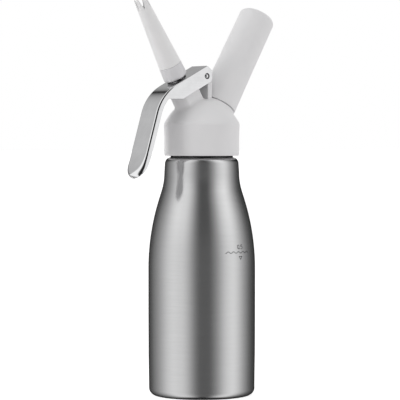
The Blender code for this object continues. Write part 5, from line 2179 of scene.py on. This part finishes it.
@dataclass(frozen=True)
class Screens:
    """Grey screens round the object, drawn on a dome, that only one group of pieces mirrors.

    Directions are in degrees: the turn is counted from the camera's, to its right, and the rise from level.
    The levels are how bright the screens are at those turns. They are multiplied by the share for the rise.
    """

    group: Mirrors
    radius_m: float
    turns: tuple[float, ...]
    levels: tuple[float, ...]
    rises: tuple[float, ...] = (-90.0, 90.0)
    rise_shares: tuple[float, ...] = (1.0, 1.0)
    high_from: float = 90.0
    high_contrast: float = 0.0
    high_middle: float = 0.3
    high_over: float = 15.0
    columns: int = 720
    rows: int = 180
    top_rise: float = 89.0
    centre_m: float = 0.15
    outermost: bool = False

    def glow(self, turn: np.ndarray, rise: np.ndarray) -> np.ndarray:
        """How bright the screens are in each direction.

        Args:
            turn: The directions' turns.
            rise: Their rises.

        Returns:
            The levels.
        """
        level = np.interp(turn, self.turns, self.levels)
        high = np.clip((rise - self.high_from) / self.high_over, 0.0, 1.0) * self.high_contrast
        level = np.maximum(level + (level - self.high_middle) * high, 0.0)
        return level * np.interp(rise, self.rises, self.rise_shares)

    def make(self, front_deg: float) -> bpy.types.Collection:
        """Builds the dome.

        Args:
            front_deg: The camera's direction, from +X towards +Y.

        Returns:
            The collection of the pieces that mirror it, which is empty at first.
        """
        columns, rows = self.columns, self.rows
        turns = np.linspace(-180.0, 180.0, columns, endpoint=False)
        turn, rise = np.meshgrid(turns, np.linspace(-self.top_rise, self.top_rise, rows))
        heading, lift = np.radians(turn + front_deg), np.radians(rise)
        level = np.cos(lift)
        points = np.stack([level * np.cos(heading), level * np.sin(heading), np.sin(lift)], axis=2)
        points = points.reshape(-1, 3) * self.radius_m + (0.0, 0.0, self.centre_m)
        row, column = np.arange(rows - 1)[:, None], np.arange(columns)[None, :]
        after = (column + 1) % columns
        corners = [row * columns + column, row * columns + after]
        corners += [(row + 1) * columns + after, (row + 1) * columns + column]
        name = f"{self.group.value}_screens"
        mesh = bpy.data.meshes.new(name)
        mesh.from_pydata(points.tolist(), [], np.stack(corners, axis=2).reshape(-1, 4).tolist())
        mesh.attributes.new("glow", "FLOAT", "POINT").data.foreach_set("value", self.glow(turn, rise).ravel())
        screens = bpy.data.objects.new(name, mesh)
        bpy.context.scene.collection.objects.link(screens)
        screens.visible_camera = screens.visible_diffuse = screens.visible_shadow = False
        mesh.materials.append(self.material(name))
        pieces = bpy.data.collections.new(f"{name}_pieces")
        screens.light_linking.receiver_collection = pieces
        return pieces

    def material(self, name: str) -> bpy.types.Material:
        """The screens' glow, which all but the outermost dome lets the light behind it through.

        Args:
            name: The material's name.

        Returns:
            The material.
        """
        material, graph = new_material(name)
        level = graph.output(graph.node("ShaderNodeAttribute", {"attribute_name": "glow"}), "Fac")
        shader = graph.output(graph.node("ShaderNodeEmission", inputs={"Color": level, "Strength": 1.0}))
        if not self.outermost:
            clear = graph.output(graph.node("ShaderNodeBsdfTransparent"))
            shader = graph.output(graph.node("ShaderNodeAddShader", inputs={0: shader, 1: clear}))
        graph.node("ShaderNodeOutputMaterial", inputs={"Surface": shader})
        material.cycles.emission_sampling = "NONE"
        return material


BOTTLE_SCREENS = Screens(
    Mirrors.BOTTLE,
    4.0,
    (-180, -167, -139, -123, -111, -100, -90.6, -81.7, -73.4, -65.5, -58, -50.8, -43.7, -36.8, -30, -23.4,
     -16.8, -10.3, -4, 15, 17.9, 22.3, 28.9, 35.6, 42.5, 49.5, 56.8, 64.3, 72.1, 80.3, 89.1, 98.6, 109, 121,
     136, 155, 180),
    (0.02, 0.02, 0.12, 0.26, 0.37, 0.50, 0.64, 0.79, 0.89, 0.95, 0.94, 0.89, 0.88, 0.78, 0.64, 0.48,
     0.31, 0.20, 0.135, 0.135, 0.14, 0.20, 0.295, 0.42, 0.59, 0.755, 0.88, 0.96, 1.0, 0.89, 0.72, 0.52, 0.35,
     0.19, 0.09, 0.04, 0.02),
    rises=(-90.0, -76.0, -62.0, 70.0, 82.0, 90.0),
    rise_shares=(0.06, 0.2, 1.0, 1.0, 0.3, 0.2),
    high_from=6.0,
    high_contrast=0.2,
)
LEVER_SCREENS = Screens(
    Mirrors.LEVER,
    5.0,
    (-180, -166, -162, -158, -153.5, -151, -149.5, -148, -146.5, -144, -139, -134, -130, -126, -122, -116,
     -112, -100, -90, -50, -36, -20, 20, 36, 48, 100, 130, 150, 180),
    (0.42, 0.42, 0.40, 0.36, 0.26, 0.08, 0.02, 0.02, 0.08, 0.22, 0.38, 0.49, 0.54, 0.57, 0.585, 0.60, 0.64,
     0.80, 1.15, 1.15, 0.10, 0.025, 0.025, 0.10, 1.0, 1.0, 0.5, 0.3, 0.42),
)
PLASTIC_SCREENS = Screens(Mirrors.PLASTICS, 6.0, (-180.0, 180.0), (0.8, 0.8), outermost=True)


@dataclass(frozen=True)
class Lamp:
    """A soft square lamp, aimed at the object: its direction from the camera's, size and power."""

    name: str
    turn_deg: float
    rise_deg: float
    size_m: float
    power: float
    distance_m: float = 1.8
    aim_m: float = 0.19

    def make(self, front_deg: float) -> None:
        """Makes the lamp, which no mirror shows.

        Args:
            front_deg: The camera's direction, from +X towards +Y.
        """
        heading, rise = math.radians(self.turn_deg + front_deg), math.radians(self.rise_deg)
        level = math.cos(rise)
        away = Vector((level * math.cos(heading), level * math.sin(heading), math.sin(rise)))
        data = bpy.data.lights.new(self.name, "AREA")
        data.size = self.size_m
        data.energy = self.power
        lamp = bpy.data.objects.new(self.name, data)
        lamp.location = away * self.distance_m + Vector((0.0, 0.0, self.aim_m))
        lamp.rotation_euler = away.to_track_quat("Z", "Y").to_euler()
        lamp.visible_glossy = False
        bpy.context.scene.collection.objects.link(lamp)


@dataclass
class Studio:
    """White surroundings, a pale floor, soft lamps, and the grey screens that the pieces mirror."""

    fill: float = 0.57
    front_deg: float = 234.0
    floor_dark: Colour = (0.86, 0.845, 0.85)
    floor_light: Colour = (0.88, 0.865, 0.87)
    floor_glow: float = 0.68
    floor_half: float = 30000.0
    lamps: tuple[Lamp, ...] = (
        Lamp("right_lamp", 85.0, 8.0, 0.7, 6.4),
        Lamp("left_lamp", -65.0, 8.0, 0.7, 5.2),
        Lamp("raised_left_lamp", -65.0, 35.0, 0.7, 4.6),
        Lamp("top_lamp", -35.0, 65.0, 0.7, 2.3),
    )

    def world(self) -> None:
        """White behind the object, and plain grey light round it."""
        world = bpy.data.worlds.new("studio")
        bpy.context.scene.world = world
        world.use_nodes = True
        graph = Graph(world.node_tree)
        path = graph.node("ShaderNodeLightPath")
        shown = graph.output(path, "Is Camera Ray") + graph.output(path, "Is Glossy Ray")
        shown = shown + graph.output(path, "Is Transmission Ray")
        level = graph.mix(shown.spread(0.0, 1.0), (self.fill,) * 3, (1.0, 1.0, 1.0))
        background = graph.node("ShaderNodeBackground", inputs={"Color": level, "Strength": 1.0})
        graph.node("ShaderNodeOutputWorld", inputs={"Surface": graph.output(background)})

    def floor(self) -> None:
        """A pale floor that shows white to the camera and keeps the object's shadow."""
        half = self.floor_half
        corners = np.array([(-half, -half, 0.0), (half, -half, 0.0), (half, half, 0.0), (-half, half, 0.0)])
        floor = new_object("floor", corners, [(0, 1, 2, 3)], Matrix.Identity(4))
        material, graph = new_material("pale_floor")
        shown = graph.output(graph.node("ShaderNodeLightPath"), "Is Camera Ray")
        graph.surface(
            {
                "Base Color": graph.mix(graph.noise(graph.place(), 8.0), self.floor_dark, self.floor_light),
                "Roughness": 0.9,
                "Emission Color": graph.mix(shown, (0.0, 0.0, 0.0), (self.floor_glow,) * 3),
                "Emission Strength": 1.0,
            }
        )
        floor.visible_glossy = False
        floor.data.materials.append(material)

    def make(self) -> dict[Mirrors, bpy.types.Collection]:
        """Sets up the studio.

        Returns:
            The collections of pieces that mirror each group's screens.
        """
        self.world()
        self.floor()
        for lamp in self.lamps:
            lamp.make(self.front_deg)
        bpy.context.scene.view_settings.view_transform = "Standard"
        screens = (BOTTLE_SCREENS, LEVER_SCREENS, PLASTIC_SCREENS)
        return {each.group: each.make(self.front_deg) for each in screens}


def main() -> None:
    """Builds the studio and every piece in order."""
    logging.basicConfig(level=logging.INFO, format="%(name)s: %(message)s")
    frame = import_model()
    Camera().make()
    dresser = Dresser(frame, Studio().make())
    for part in (Bottle, FillMark, HeadGasket, Head, Lever, HingePin, Valve, TipAdaptor, DecoratingTip,
                 ChargingValve, GasCharger, ChargerHolder):
        part().make(dresser)


if __name__ == "__main__":
    main()
